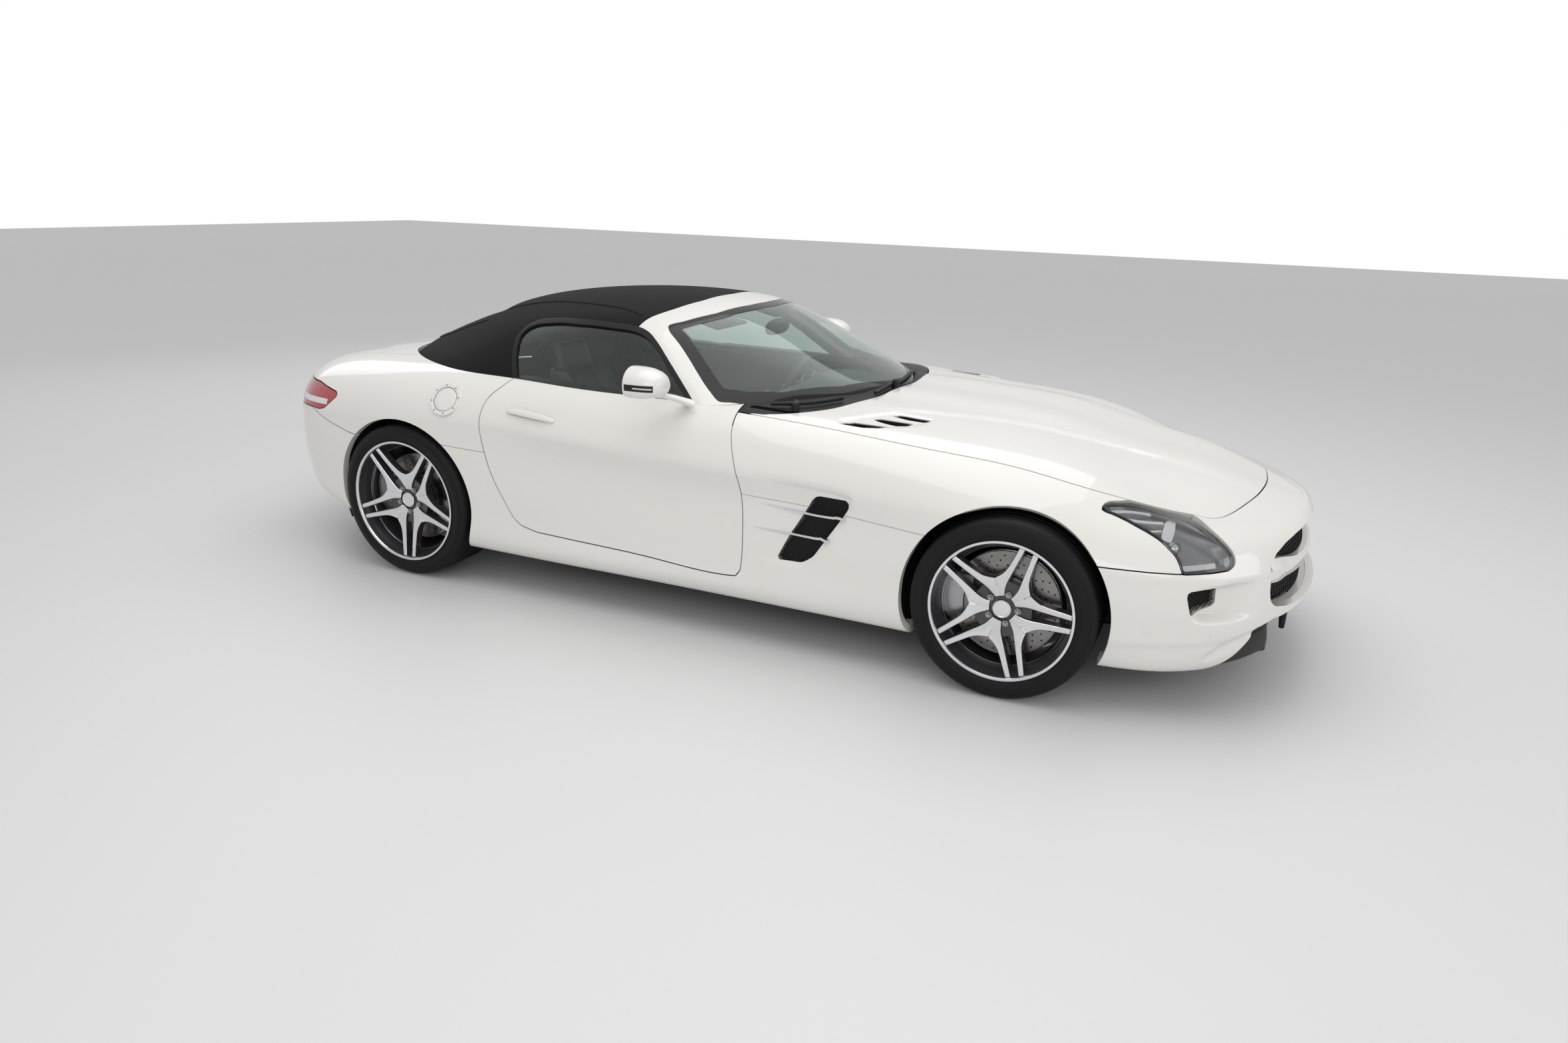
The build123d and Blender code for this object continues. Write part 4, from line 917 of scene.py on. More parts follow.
def make_diffuser():
    """The dark lower rear panel with its fins, and the exhaust with one wide tip at each side."""
    part = cut_sheet(skin, diffuser_zone)
    build("diffuser_skin", panel(both_halves(pushed(part, .006)), .03), black_plastic)
    fins = []
    for y in (.09, .21, .33):
        rows = []
        for z in np.linspace(.315, .205, 7):
            x, reach = rear_at(y, z)[0][0], .004 + .026 * (.315 - z) / .11
            rows.append([(x + .02, y - .006, z), (x - reach, y - .003, z), (x - reach, y + .003, z),
                (x + .02, y + .006, z)])
        fins.append(soft_form(rows))
    build("diffuser_fins", whole(join(*fins)), black_plastic)
    y, z = .545, .268
    rows = [[(x, y + u, z + v) for u, v in oval(wide, tall, 48, .6, .7)] for x, wide, tall in
        ((-2.205, .07, .03), (-2.208, .073, .033), (-2.2, .076, .036), (-2.1, .074, .034), (-2.02, .045, .03))]
    inner = [[(x, y + (py - y) * .94, z + (pz - z) * .9) for _, py, pz in rows[0]] for x in (-2.1, -2.205)]
    half = soft_form(inner + rows, ends=False)
    build("exhaust_tips", whole(half), chrome, slot="exhaust_steel")
    run = tube(flowing([(-2.04, y, z), (-1.98, y - .02, z - .006), (-1.95, y - .1, z - .006)], 8), .03, 20)
    muffler = rounded_block(-1.99, -1.845, -.46, .46, .195, .325, .05, 8)
    build("exhaust_box", join(run, flip_y(run), muffler), steel, ["exhaust"], slot="exhaust_steel")


def make_boot_and_deck():
    lid = cut_sheet(skin, inside(boot_plan_low), below(0, -1.7), outside(lamp_zone))
    build("boot_lid_skin", slab(both_halves(lid), LID), paint, ["boot_lid"], "boot_lid")
    deck = cut_sheet(upper(skin), inside(DECK_PLAN), outside(CABIN_PLAN, .001))
    build("rear_deck_skin", panel(both_halves(deck)), paint, ["rear_deck"])


def make_cowl():
    part = cut_sheet(upper(skin), above(0, .1), below(0, .7), outside(BONNET_PLAN, .004),
        outside(CABIN_PLAN, -.03), below(1, .7835), outside(ARM_SLOT, 0))
    build("cowl_panel", panel(both_halves(pushed(part, .004)), .012), black_plastic, ["cowl"])


def make_glasshouse():
    part = cut_sheet(house, inside(SCREEN_PLAN, .001))
    build("windscreen_glass", slab(both_halves(pushed(part, .003)), GLASS), clear_glass, ["windscreen"])
    edge = cut_sheet(part, outside(SCREEN_PLAN, -.045))
    build("windscreen_border", slab(both_halves(pushed(edge, .0018)), .001), frit)
    frame_part = cut_sheet(house, inside(HEADER_PLAN, .001), outside(SCREEN_PLAN, .0005),
        outside(WINDOW_SIDE, .012))
    build("windscreen_surround", slab(both_halves(frame_part), .035), paint, ["windscreen_frame"])
    top = cut_sheet(house, outside(HEADER_PLAN, .001), outside(WINDOW_SIDE, .012), outside(REAR_GLASS_PLAN,
        -.004))
    build("roof_cloth", slab(both_halves(top), CLOTH), fabric, ["soft_top"])
    build("roof_lining", pushed(both_halves(top), .012), lining_cloth)
    back = cut_sheet(house, inside(REAR_GLASS_PLAN, 0))
    build("rear_glass", slab(both_halves(pushed(back, .006)), GLASS), clear_glass, ["rear_window"])
    side = cut_sheet(house, inside(WINDOW_SIDE, -.006), below(0, 0.))
    pair("side_glass", slab(pushed(side, .008), GLASS), clear_glass, ["door_glass"], "door")
    seal = cut_sheet(house, inside(WINDOW_SIDE, -.013), outside(WINDOW_SIDE, -.006))
    pair("window_seal", slab(pushed(seal, -.001), .012), rubber, body="door")


def make_underside():
    """The flat shield between the lower edges of the skin."""
    shares = (1, .93, .8, .59, .35, 0)
    sheet = lattice([[(x, y * share, z - .003 * (1 - share)) for share in shares]
        for x, y, z in body_grid[:, -1]])
    sheet = sheet[0], np.tile([0, 0, -1.], (len(sheet[0]), 1)), sheet[2]
    for axle in (FRONT_AXLE, REAR_AXLE):
        sheet = trim(sheet, lambda v: -np.maximum(np.abs(v[:, 0] - axle) - .375, .47 - v[:, 1]))
    build("floor_shield", slab(both_halves(sheet), .004), chassis_paint, ["undertray"])


# ---- stage and camera
def make_stage():
    size = 30
    floor = bpy.data.meshes.new("floor")
    floor.from_pydata([(-size, -size, 0), (size, -size, 0), (size, size, 0), (-size, size, 0)], [],
        [(0, 1, 2, 3)])
    matt = bpy.data.materials.new("pale floor")
    matt.use_nodes = True
    shader = matt.node_tree.nodes["Principled BSDF"]
    shader.inputs["Base Color"].default_value = (.72, .72, .72, 1)
    shader.inputs["Roughness"].default_value = .5
    floor.materials.append(matt)
    add_object("floor", floor)


def lamp(name, spot, target, size, power):
    light = bpy.data.lights.new(name, "AREA")
    light.shape, light.size, light.size_y, light.energy = "RECTANGLE", size[0], size[1], power
    made = add_object(name, light)
    made.location = spot
    made.rotation_euler = (Vector(target) - Vector(spot)).to_track_quat("-Z", "Y").to_euler()


def make_light():
    world = bpy.data.worlds.new("studio")
    world.use_nodes = True
    bpy.context.scene.world = world
    tree = world.node_tree
    sky = tree.nodes["Background"]
    sky.inputs[0].default_value = (1, 1, 1, 1)
    ray = tree.nodes.new("ShaderNodeLightPath")
    seen = maths(tree, "MAXIMUM", ray.outputs["Is Camera Ray"], ray.outputs["Is Transmission Ray"])
    tree.links.new(maths(tree, "MULTIPLY_ADD", seen, .35, .65), sky.inputs[1])
    lamp("ceiling", (.5, 0, 4.6), (.3, 0, 0), (7, 4), 105)
    lamp("near side", (2.5, -6, 3.2), (0, 0, .6), (6, 2), 60)
    lamp("front", (7, -1, 2.6), (1, 0, .5), (4, 2), 35)
    lamp("behind", (-6, 3, 3.5), (-1, 0, .6), (5, 2), 30)


CAMERA_PLACE = (2.0157, -4.4319, 1.7257)
CAMERA_YAW, CAMERA_DOWN, CAMERA_ROLL, CAMERA_LENS = 1.9859, .3036, .0302, 24.54


def make_camera():
    data = bpy.data.cameras.new("camera")
    data.sensor_width, data.lens = 36, CAMERA_LENS
    data.clip_end = 200
    made = add_object("camera", data)
    ahead = Vector((math.cos(CAMERA_YAW) * math.cos(CAMERA_DOWN), math.sin(CAMERA_YAW) * math.cos(CAMERA_DOWN),
        -math.sin(CAMERA_DOWN)))
    right = ahead.cross(Vector((0, 0, 1))).normalized()
    top = right.cross(ahead)
    right, top = (right * math.cos(CAMERA_ROLL) + top * math.sin(CAMERA_ROLL), top * math.cos(CAMERA_ROLL) -
        right * math.sin(CAMERA_ROLL))
    turn = Matrix((right, top, -ahead)).transposed().to_4x4()
    made.matrix_world = Matrix.Translation(CAMERA_PLACE) @ turn
    bpy.context.scene.camera = made


# ---- wheels
WHEELS = {
    "f": {"x": FRONT_AXLE, "r": FRONT_R, "y": .833, "flange": .2588, "half": .127, "tyre": .1325, "turn": 71},
    "r": {"x": REAR_AXLE, "r": REAR_R, "y": .817, "flange": .2715, "half": .146, "tyre": .1475, "turn": 55}}
PAIRS = 5


def lattice(rows):
    """An open sheet through rows of equal length."""
    rows = np.array(rows, float)
    return rows.reshape(-1, 3), None, grid_faces(*rows.shape[:2])


def hoop_faces(hoops, count, loop=False, closed=True):
    """Faces between hoops of points; loop joins the last hoop to the first."""
    faces = []
    for i in range(hoops if loop else hoops - 1):
        after = (i + 1) % hoops * count
        for j in range(count if closed else count - 1):
            beside = (j + 1) % count
            faces.append((i * count + j, after + j, after + beside, i * count + beside))
    return faces


def ring(profile, segments=96, closed=True):
    """A ring turned about the Y axis from (outward, radius) points."""
    turns = [FULL_TURN * k / segments for k in range(segments)]
    points = [(r * math.cos(t), out, r * math.sin(t)) for t in turns for out, r in profile]
    return np.array(points), None, hoop_faces(segments, len(profile), True, closed)


def disc_cap(profile, segments=48):
    """A turned solid whose profile starts and ends on the axis."""
    points, _, faces = ring(profile[1:-1], segments, closed=False)
    count, start = len(profile) - 2, len(points)
    points = np.concatenate([points, [(0, profile[0][0], 0), (0, profile[-1][0], 0)]])
    for k in range(segments):
        m = (k + 1) % segments
        faces.append((start, m * count, k * count))
        faces.append((start + 1, k * count + count - 1, m * count + count - 1))
    return points, None, faces


def place(sheet, x=0., y=0., z=0.):
    points, normals, faces = sheet
    return points + np.array([x, y, z]), normals, faces


def spun(sheet, degrees):
    """Turns a sheet about the Y axis, from +X towards +Z."""
    points, normals, faces = sheet
    c, s = math.cos(math.radians(degrees)), math.sin(math.radians(degrees))
    turn = np.array([[c, 0, s], [0, 1, 0], [-s, 0, c]])
    return points @ turn, normals, faces


def face_height(r, dims):
    """How far outboard the machined face stands at a radius: flat at the lip and dished towards the hub."""
    share = np.clip((r - .05) / (dims["flange"] - .06), 0, 1)
    return dims["half"] - .044 + .034 * share ** .8


def spoke_half(dims):
    """Half of one V of the face: the bar beside a channel and its share of the root, with its dark sides."""
    reach = dims["flange"] - .008
    inner = flowing([(reach, .015), (.19, .018), (.13, .021), (.095, .0225), (.074, .0205), (.06, .0165),
        (.048, .0125)], 8)
    notch = .118 * np.array([math.cos(math.radians(36)), math.sin(math.radians(36))])
    first = flowing([(reach, .0335), (.21, .0365), (.17, .04), (.138, .0455), (.118, .054), notch], 7)
    outer = np.concatenate([first, [notch * share for share in np.linspace(1, .4, 15)[1:]]])
    at = np.linspace(0, 1, 44)
    pick = lambda line: np.stack([np.interp(at, np.linspace(0, 1, len(line)), line[:, k]) for k in (0, 1)], 1)
    inner, outer = pick(inner), pick(outer)
    wall = at < len(first) / len(outer)
    points, faces, bright = [], [], []
    depth, edge = .034, .0016
    for i, o, free in zip(inner, outer, wall):
        across = (o - i) / max(np.linalg.norm(o - i), 1e-9)
        high_in, high_out = (face_height(np.linalg.norm(p), dims) for p in (i, o))
        row = [(i - across * .003, high_in - depth), (i, high_in - edge)]
        for share in (0, .33, .67, 1):
            p = i + across * edge + (o - i - across * edge * (2 if free else 1)) * share
            row.append((p, face_height(np.linalg.norm(p), dims) + .0012 * math.sin(math.pi * share)))
        row += [(o, high_out - edge), (o + across * .003, high_out - depth)] if free else [(o, high_out)] * 2
        points += [(p[0], h, p[1]) for p, h in row]
    n = 8
    for k in range(len(at) - 1):
        for j in range(n - 1):
            if not wall[k + 1] and j >= 5:
                continue
            faces.append((k * n + j, k * n + j + 1, (k + 1) * n + j + 1, (k + 1) * n + j))
            bright.append(0 if 1 <= j <= 5 else 1)
    return np.array(points), faces, bright


def mirrored_about(points, degrees):
    """Mirror image in a line through the hub at an angle."""
    c, s = math.cos(math.radians(2 * degrees)), math.sin(math.radians(2 * degrees))
    out = points.copy()
    out[:, 0] = points[:, 0] * c + points[:, 2] * s
    out[:, 2] = points[:, 0] * s - points[:, 2] * c
    return out


def wheel_face(dims):
    points, faces, bright = spoke_half(dims)
    sheets, marks = [], []
    for k in range(PAIRS):
        for flip in (False, True):
            p = mirrored_about(points, 36) if flip else points
            f = [face[::-1] for face in faces] if flip else faces
            sheets.append(spun((p, None, f), dims["turn"] + 72 * k))
            marks += bright
    return join(*sheets), marks


def at_axle(sheet, dims, side):
    if side == "l":
        return place(sheet, dims["x"], dims["y"], dims["r"])
    return place(flip_y(sheet), dims["x"], -dims["y"], dims["r"])


def make_wheel(tag, side):
    dims = WHEELS[tag]
    flange, half = dims["flange"], dims["half"]
    hub = half - .044  # how far out the hub's face stands
    body, end = f"wheel_{tag}{side}", f"_{tag}{side}"
    shift = lambda sheet: at_axle(sheet, dims, side)
    face, marks = wheel_face(dims)
    sheets, index = [face], list(marks)

    def add(sheet, material):
        sheets.append(sheet)
        index.extend([material] * len(sheet[2]))

    def inset(*pairs):
        """Points given by how far they lie inside the outer edge and the flange."""
        return [(half - a, flange - b) for a, b in pairs]

    # lip, barrel, groove, hub, channel floors, wheel bolts and cap; the materials are those of build below
    add(ring(inset((.0005, .0005), (0, .002), (.001, .009), (.006, .0125), (.012, .013), (.012, .004),
        (.009, 0)), 144), 0)
    inner = [(a - half, flange - b) for a, b in ((.02, .03), (0, .014), (0, 0), (.01, 0), (.012, .013),
        (.03, .02))]
    add(ring(inset((.006, .0128), (.022, .017), (.03, .02), (.06, .034)) + inner + inset((.05, .024),
        (.03, .013), (.011, .013)), 120), 1)
    add(ring(inset((.06, .0342), (.064, .037), (.07, .0375), (.076, .034)), 120), 0)
    add(place(ring([(-.006, .03), (-.006, .05), (-.012, .078), (-.018, .09), (-.06, .092), (-.06, .03)], 80),
        y=hub), 1)
    web = np.array([(out, hub + up, side) for out, wide, up in ((.06, .019, -.004), (.078, .021, -.002),
        (.104, .0225, .002), (.107, .0225, -.022)) for side in (-wide, wide)])
    bolt = disc_cap([(-.01, 0), (-.01, .0125), (.002, .0125), (.004, .0115), (.004, .0075), (.01, .0072),
        (.012, .006), (.012, 0)], 12)
    dimple = disc_cap([(-.02, 0), (-.02, .0042), (.0052, .0042), (.0052, .003), (.0035, .0028), (.0035, 0)], 12)
    for k in range(PAIRS):
        degrees = dims["turn"] + 72 * k
        add(spun((web, None, [(0, 1, 3, 2), (2, 3, 5, 4), (4, 5, 7, 6)]), degrees), 1)
        for shape, r, turn, material in ((bolt, .056, 0, 3), (dimple, .067, 36, 2)):
            angle = math.radians(degrees + turn)
            add(place(shape, r * math.cos(angle), hub, r * math.sin(angle)), material)
    add(place(disc_cap([(-.02, 0), (-.02, .0335), (.006, .0335), (.0085, .0325), (.009, .03), (.0075, .0285),
        (.0085, .018), (.0092, 0)], 64), y=hub), 2)
    build("wheel" + end, shift(join(*sheets)), bright_alloy, ["rim" + end], body, materials=(grey_alloy, chrome,
        steel), pick=lambda i: index[i])
    make_tyre(dims, shift, end, body)
    make_brake(dims, shift, end, body)


def make_tyre(dims, shift, end, body):
    """One half of the section from the bead over the side wall to two grooves, and its mirror image."""
    r, w, f = dims["r"], dims["tyre"], dims["flange"]
    wall = [(w - a, f + b) for a, b in ((.012, -.011), (.01, .001), (.0075, .006), (.0045, .009), (.003, .013),
        (.0022, .0165), (.003, .0175), (.0016, .019), (.0004, .026))]
    wall.append((w - .0002, (f + r) / 2 + .002))
    wall += [(w - a, r - b) for a, b in ((.0016, .03), (.0032, .0262), (.0046, .0258), (.0052, .022),
        (.0085, .015), (.0135, .0088), (.02, .0048), (.029, .0022), (.038, .001))]
    for groove in (.055, .019):
        c = groove * (w / .1325)
        wall += [(c + a, r - b) for a, b in ((.0048, .0003), (.004, .0068), (-.004, .0068), (-.0048, .0002))]
    build("tyre" + end, shift(ring(wall + [(-a, h) for a, h in reversed(wall)], 120)), tyre_rubber,
        ["tyre" + end], body)


def make_brake(dims, shift, end, body):
    """Disc with painted shade for its drilled holes, and its bell; it turns with the wheel."""
    disc = ring([(0, .105), (0, .192), (-.001, .195), (-.01, .195), (-.01, .19), (-.02, .19), (-.022, .195),
        (-.031, .195), (-.032, .192), (-.032, .105)], 96)
    bell = ring([(.008, .03), (.008, .082), (.004, .088), (-.004, .108), (-.012, .108), (-.012, .03)], 64)
    count = len(disc[2])
    build("brake_disc" + end, shift(place(join(disc, bell), y=.034)), brake_steel[dims["x"] > 0], body=body,
        materials=(grey_alloy,), pick=lambda i: int(i >= count))


def make_caliper(tag, side):
    """The caliper body bridges the disc at its rear, on the upright."""
    across = [(-.012, .15), (-.012, .222), (.004, .228), (.03, .229), (.052, .224), (.058, .212), (.06, .165),
        (.058, .148), (.046, .14), (.043, .14), (.043, .2), (-.004, .2), (-.004, .15)]
    rows = []
    for t in np.linspace(0, 1, 23):
        angle = math.radians(154 + 52 * t)
        thin = 1 - .35 * abs(2 * t - 1) ** 4
        reach = [(a * (thin if a > .05 else 1), .19 + (r - .19) * (thin if r > .19 else 1)) for a, r in across]
        rows.append([(r * math.cos(angle), a, r * math.sin(angle)) for a, r in reach])
    made = build(f"brake_caliper_{tag}{side}", at_axle(soft_form(rows), WHEELS[tag], side), silver_paint,
        body=f"upright_f{side}" if tag == "f" else "body")
    bevel = made.modifiers.new("rounded edges", "BEVEL")
    bevel.width, bevel.segments, bevel.limit_method = .004, 2, "ANGLE"
    bevel.angle_limit = HARD_EDGE
    bevel.harden_normals = False


def make_wheels():
    for tag in WHEELS:
        for side in "lr":
            make_wheel(tag, side)
            make_caliper(tag, side)


# ---- shapes for the small pieces
def sweep(path, section, up=(0, 0, 1), scale=None, loop=False):
    """Carries a section of (sideways, upward) points along a path."""
    path = np.array(path, float)
    n, m = len(path), len(section)
    ups = np.broadcast_to(np.array(up, float), path.shape)
    ahead = np.gradient(path, axis=0) if not loop else np.roll(path, -1, 0) - np.roll(path, 1, 0)
    ahead /= np.maximum(np.linalg.norm(ahead, axis=1, keepdims=True), 1e-12)
    side = np.cross(ahead, ups)
    side /= np.maximum(np.linalg.norm(side, axis=1, keepdims=True), 1e-12)
    lift = np.cross(side, ahead)
    size = np.ones(n) if scale is None else np.array(scale, float)
    points = np.array([p + (s * a + l * b) * k
        for p, s, l, k in zip(path, side, lift, size) for a, b in section])
    faces = hoop_faces(n, m, loop)
    if not loop:
        faces += [tuple(range(m)), tuple(range((n - 1) * m, n * m))[::-1]]
    return points, None, faces


def oval(half_u, half_v, sides=16, power_u=1., power_v=1.):
    """Points (u, v) round an oval; powers below 1 square it off."""
    turns = np.linspace(0, FULL_TURN, sides + 1)[:-1]
    return [(half_u * math.copysign(abs(math.cos(t)) ** power_u, math.cos(t)), half_v *
        math.copysign(abs(math.sin(t)) ** power_v, math.sin(t))) for t in turns]


def flat_bar(foot, low, head, high):
    """A section as wide as foot at its low side and as head at its high side, by half widths."""
    return [(-foot, low), (foot, low), (head, high), (-head, high)]


def tube(path, r, sides=10, up=(0, 0, 1)):
    return sweep(path, oval(r, r, sides), up)


def soft_form(sections, ends=True):
    """A closed form through sections of equal length."""
    rows = np.array(sections, float)
    hoops, count = rows.shape[:2]
    faces = [(a, d, c, b) for a, b, c, d in hoop_faces(hoops, count)]
    if ends:
        faces += [tuple(range(count))[::-1], tuple(range((hoops - 1) * count, hoops * count))]
    return rows.reshape(-1, 3), None, faces


def rounded_block(x0, x1, y0, y1, z0, z1, r=.01, steps=4):
    """A block with soft edges, made of rounded outlines that draw in towards the bottom and the top."""
    cx, cy, hx, hy = (x0 + x1) / 2, (y0 + y1) / 2, abs(x1 - x0) / 2, abs(y1 - y0) / 2
    r = min(r, hx * .9, hy * .9, abs(z1 - z0) * .45)
    bend = [(r * math.cos(t), r - r * math.sin(t)) for t in np.linspace(0, math.pi / 2, steps)]
    levels = [(z0 + r - up, draw) for up, draw in bend] + [(z1 - r + up, draw) for up, draw in bend[::-1]]
    rows = []
    for z, draw in levels:
        reach_x, reach_y = max(hx - draw - r, 0), max(hy - draw - r, 0)
        rows.append([(cx + sx * reach_x + r * math.cos(t), cy + sy * reach_y + r * math.sin(t), z)
            for sx, sy, start in ((1, 1, 0), (-1, 1, 90), (-1, -1, 180), (1, -1, 270))
            for t in np.radians(start + np.linspace(0, 90, steps))])
    return soft_form(rows)


def rotated(sheet, matrix, centre=(0, 0, 0)):
    """Rotates a sheet about a point."""
    points, normals, faces = sheet
    return (points - np.array(centre)) @ np.array(matrix).T + np.array(centre), normals, faces


def turned(sheet, degrees, axis, centre=(0, 0, 0)):
    return rotated(sheet, Matrix.Rotation(math.radians(degrees), 3, axis), centre)


def aimed(sheet, direction):
    """Turns a sheet that faces +Y towards a direction."""
    return rotated(sheet, Vector((0, 1, 0)).rotation_difference(Vector(direction)).to_matrix())


def hit(tree, start, direction, off=0.):
    """The point where a line meets a form, lifted off it, and the outward direction there."""
    spot, normal, _, _ = tree.ray_cast(Vector(start), Vector(direction))
    if spot is None:
        return None, None
    if normal.dot(Vector(direction)) > 0:
        normal = -normal
    return np.array(spot + normal * off), np.array(normal)


def side_at(x, z, off=0.):
    return hit(body_tree, (x, 2, z), (0, -1, 0), off)


def front_at(y, z, off=0.):
    return hit(body_tree, (3, y, z), (-1, 0, 0), off)


def rear_at(y, z, off=0.):
    return hit(body_tree, (-3, y, z), (1, 0, 0), off)


def top_at(tree, x, y, off=0.):
    return hit(tree, (x, abs(y) + 1e-5, 3), (0, 0, -1), off)


def on_form(locate, line, off=0.):
    """A line laid on a form: its points and the outward directions."""
    found = [locate(a, b, off) for a, b in line]
    found = [(p, n) for p, n in found if p is not None]
    return np.array([p for p, _ in found]), np.array([n for _, n in found])


def diamond_mesh(locate, zone, view, low, high, pitch, lean, thick, off):
    """Crossing wires over the zone, laid on a form."""
    square = flat_bar(thick, -thick, thick, thick)
    wires = []
    reach = (high[1] - low[1]) * lean
    for sign in (1, -1):
        a = low[0] - reach
        while a < high[0] + reach:
            line = [(a + sign * lean * (b - (low[1] + high[1]) / 2), b) for b in np.arange(low[1], high[1],
                .007)]
            a += pitch
            flat = np.zeros((len(line), 3))
            flat[:, view] = line
            run = []
            for spot, d in zip(line + [None], list(zone(flat)) + [1]):
                if d < 0:
                    run.append(spot)
                    continue
                if len(run) > 2:
                    points, normals = on_form(locate, run, off + sign * thick * .8)
                    if len(points) > 2:
                        wires.append(sweep(points, square, normals))
                run = []
    return join(*wires)


def dished(sheet, zone, depth, slope=1.5):
    """Sinks the middle of a sheet, sloping in from the zone's outline."""
    points, normals, faces = sheet
    share = np.clip(-zone(points) * slope / depth, 0, 1)[:, None]
    return points - normals * depth * share, np.zeros_like(points), faces


# ---- lamps, grille, vents
def strip_on(locate, line, off, wide, thick):
    points, normals = on_form(locate, line, off)
    return sweep(points, flat_bar(wide, -thick, wide, thick), normals)


def make_headlamps():
    zone = cut_sheet(skin, above(0, 1.45), inside(LAMP_SIDE), outside(BONNET_PLAN))
    pair("headlamp_lens", slab(pushed(zone, .0005), .003), lens_clear)
    bowl = dished(pushed(zone, .006), LAMP_SIDE, .04, 2.)
    rim = cut_sheet(zone, outside(LAMP_SIDE, -.007))
    lights = [strip_on(side_at, flowing(line, 5), off, wide, .003) for line, off, wide in (([(1.625, .7085),
        (1.684, .7085), (1.751, .6995)], -.014, .006), ([(1.68, .692), (1.731, .688), (1.797, .683)], -.018,
        .0065), ([(1.884, .563), (1.924, .566), (1.981, .57)], -.012, .009))]
    bracket = [strip_on(side_at, line, -.02, .0035, .004) for line in ([(1.735, .6645), (1.798, .668)],
        [(1.738, .664), (1.797, .6365)])]
    box_face = cut_sheet(pushed(skin, .018), soft_outline([(1.797, .671), (1.829, .669), (1.834, .65),
        (1.831, .625), (1.797, .634)], .006, SIDE))
    dark = cut_sheet(pushed(skin, .01), outline([(1.998, .588), (2.024, .59), (2.029, .557), (2.002, .557)],
        SIDE))
    eye = disc_cap([(-.018, 0), (-.018, .024), (.004, .028), (.009, .028), (.009, .024), (.007, .0215),
        (.014, .016), (.018, .008), (.019, 0)], 40)
    eye = place(aimed(eye, (.8, .55, .1)), *side_at(1.85, .628, -.034)[0])
    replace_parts(pair("headlamp_bowl", bare(bowl), lamp_grey)[1], "headlamps")
    pair("headlamp_edge", bare(pushed(rim, .0045)), frit)
    pair("headlamp_strips", join(*lights), lamp_white)
    pair("headlamp_bracket", join(*bracket), lamp_white)
    pair("headlamp_box", bare(slab(box_face, .012)), lamp_white)
    pair("headlamp_reflector", bare(slab(dark, .004)), lamp_grey)
    pair("headlamp_projector", eye, lamp_silver)


def make_front_openings():
    """Meshes behind the grille and the side intakes, with the wing bar and round sensors."""
    back = cut_sheet(skin, above(0, 1.8), inside(GRILLE_FRONT, -.012))
    build("grille_back", both_halves(pushed(back, .075)), black_plastic, ["grille"], slot="mesh")
    half = diamond_mesh(front_at, GRILLE_FRONT, (1, 2), (0., .36), (.65, .62), .021, .55, .0012, -.055)
    build("grille_mesh", whole(half), black_plastic, slot="mesh")
    wall = rim_of(cut_sheet(skin, above(0, 1.8), GRILLE_FRONT), .07, (-1, 0, 0))
    wall = inward((wall[0], None, [f for f in wall[2] if max(wall[0][i][1] for i in f) > .001]))
    build("grille_wall", whole(wall), paint)
    top_line = flowing([(.0005, .506), (.2, .508), (.38, .522), (.52, .55), (.615, .566)], 10)
    low_line = flowing([(.0005, .484), (.2, .48), (.38, .477), (.52, .482), (.632, .492)], 10)
    behind = .03 * (1 - ramp(top_line[:, 0], .45, .62))
    a, b, c = (on_form(front_at, line, off)[0] - behind[:, None] * [1, 0, 0] for line, off in
        ((top_line, -.006), ((top_line + low_line) / 2, .004), (low_line, -.006)))
    wing = lattice([a - [.022, 0, 0], a, b, c, c - [.022, 0, 0]])
    wing[0][wing[0][:, 1] < .001, 1] = 0
    build("grille_wing", whole(wing), paint)
    edge = sweep(c + [.003, 0, -.002], oval(.0035, .0035, 8), (1, 0, 0))
    build("grille_bar", whole(edge), chrome)
    pocket = cut_sheet(skin, above(0, 1.7), above(1, .5), inside(INTAKE_SIDE, -.01))
    pair("intake_back", bare(pushed(pocket, .03)), black_plastic, slot="mesh")
    wires = diamond_mesh(side_at, inside(INTAKE_SIDE, -.002), SIDE, (1.9, .39), (2., .5), .0125, .8, .001, -.01)
    pair("intake_mesh", wires, black_plastic, slot="mesh")
    studs = []
    for x, z in ((2.002, .332), (1.8, .34)):
        centre, out = side_at(x, z)
        stud = disc_cap([(-.004, 0), (-.004, .0105), (.0006, .0105), (.0012, .0095), (.0006, .0085),
            (.0012, .007), (.0014, 0)], 24)
        studs.append(whole(place(aimed(stud, out), *centre)))
    build("bumper_sensors", join(*studs), paint)


def make_plates():
    front = front_at(0., .27)[0][0]
    build("front_plate_holder", rounded_block(front - .004, front + .016, -.268, .268, .196, .338, .006),
        black_plastic)
    rear = rear_at(0., .527)[0][0]
    parts = [rounded_block(x, x + .003, -.26, .26, z, z + .112, .0012) for x, z in ((front + .016, .214),
        (rear - .004, .472))]
    build("blank_plates", join(*parts), blank_plate, ["plates"])


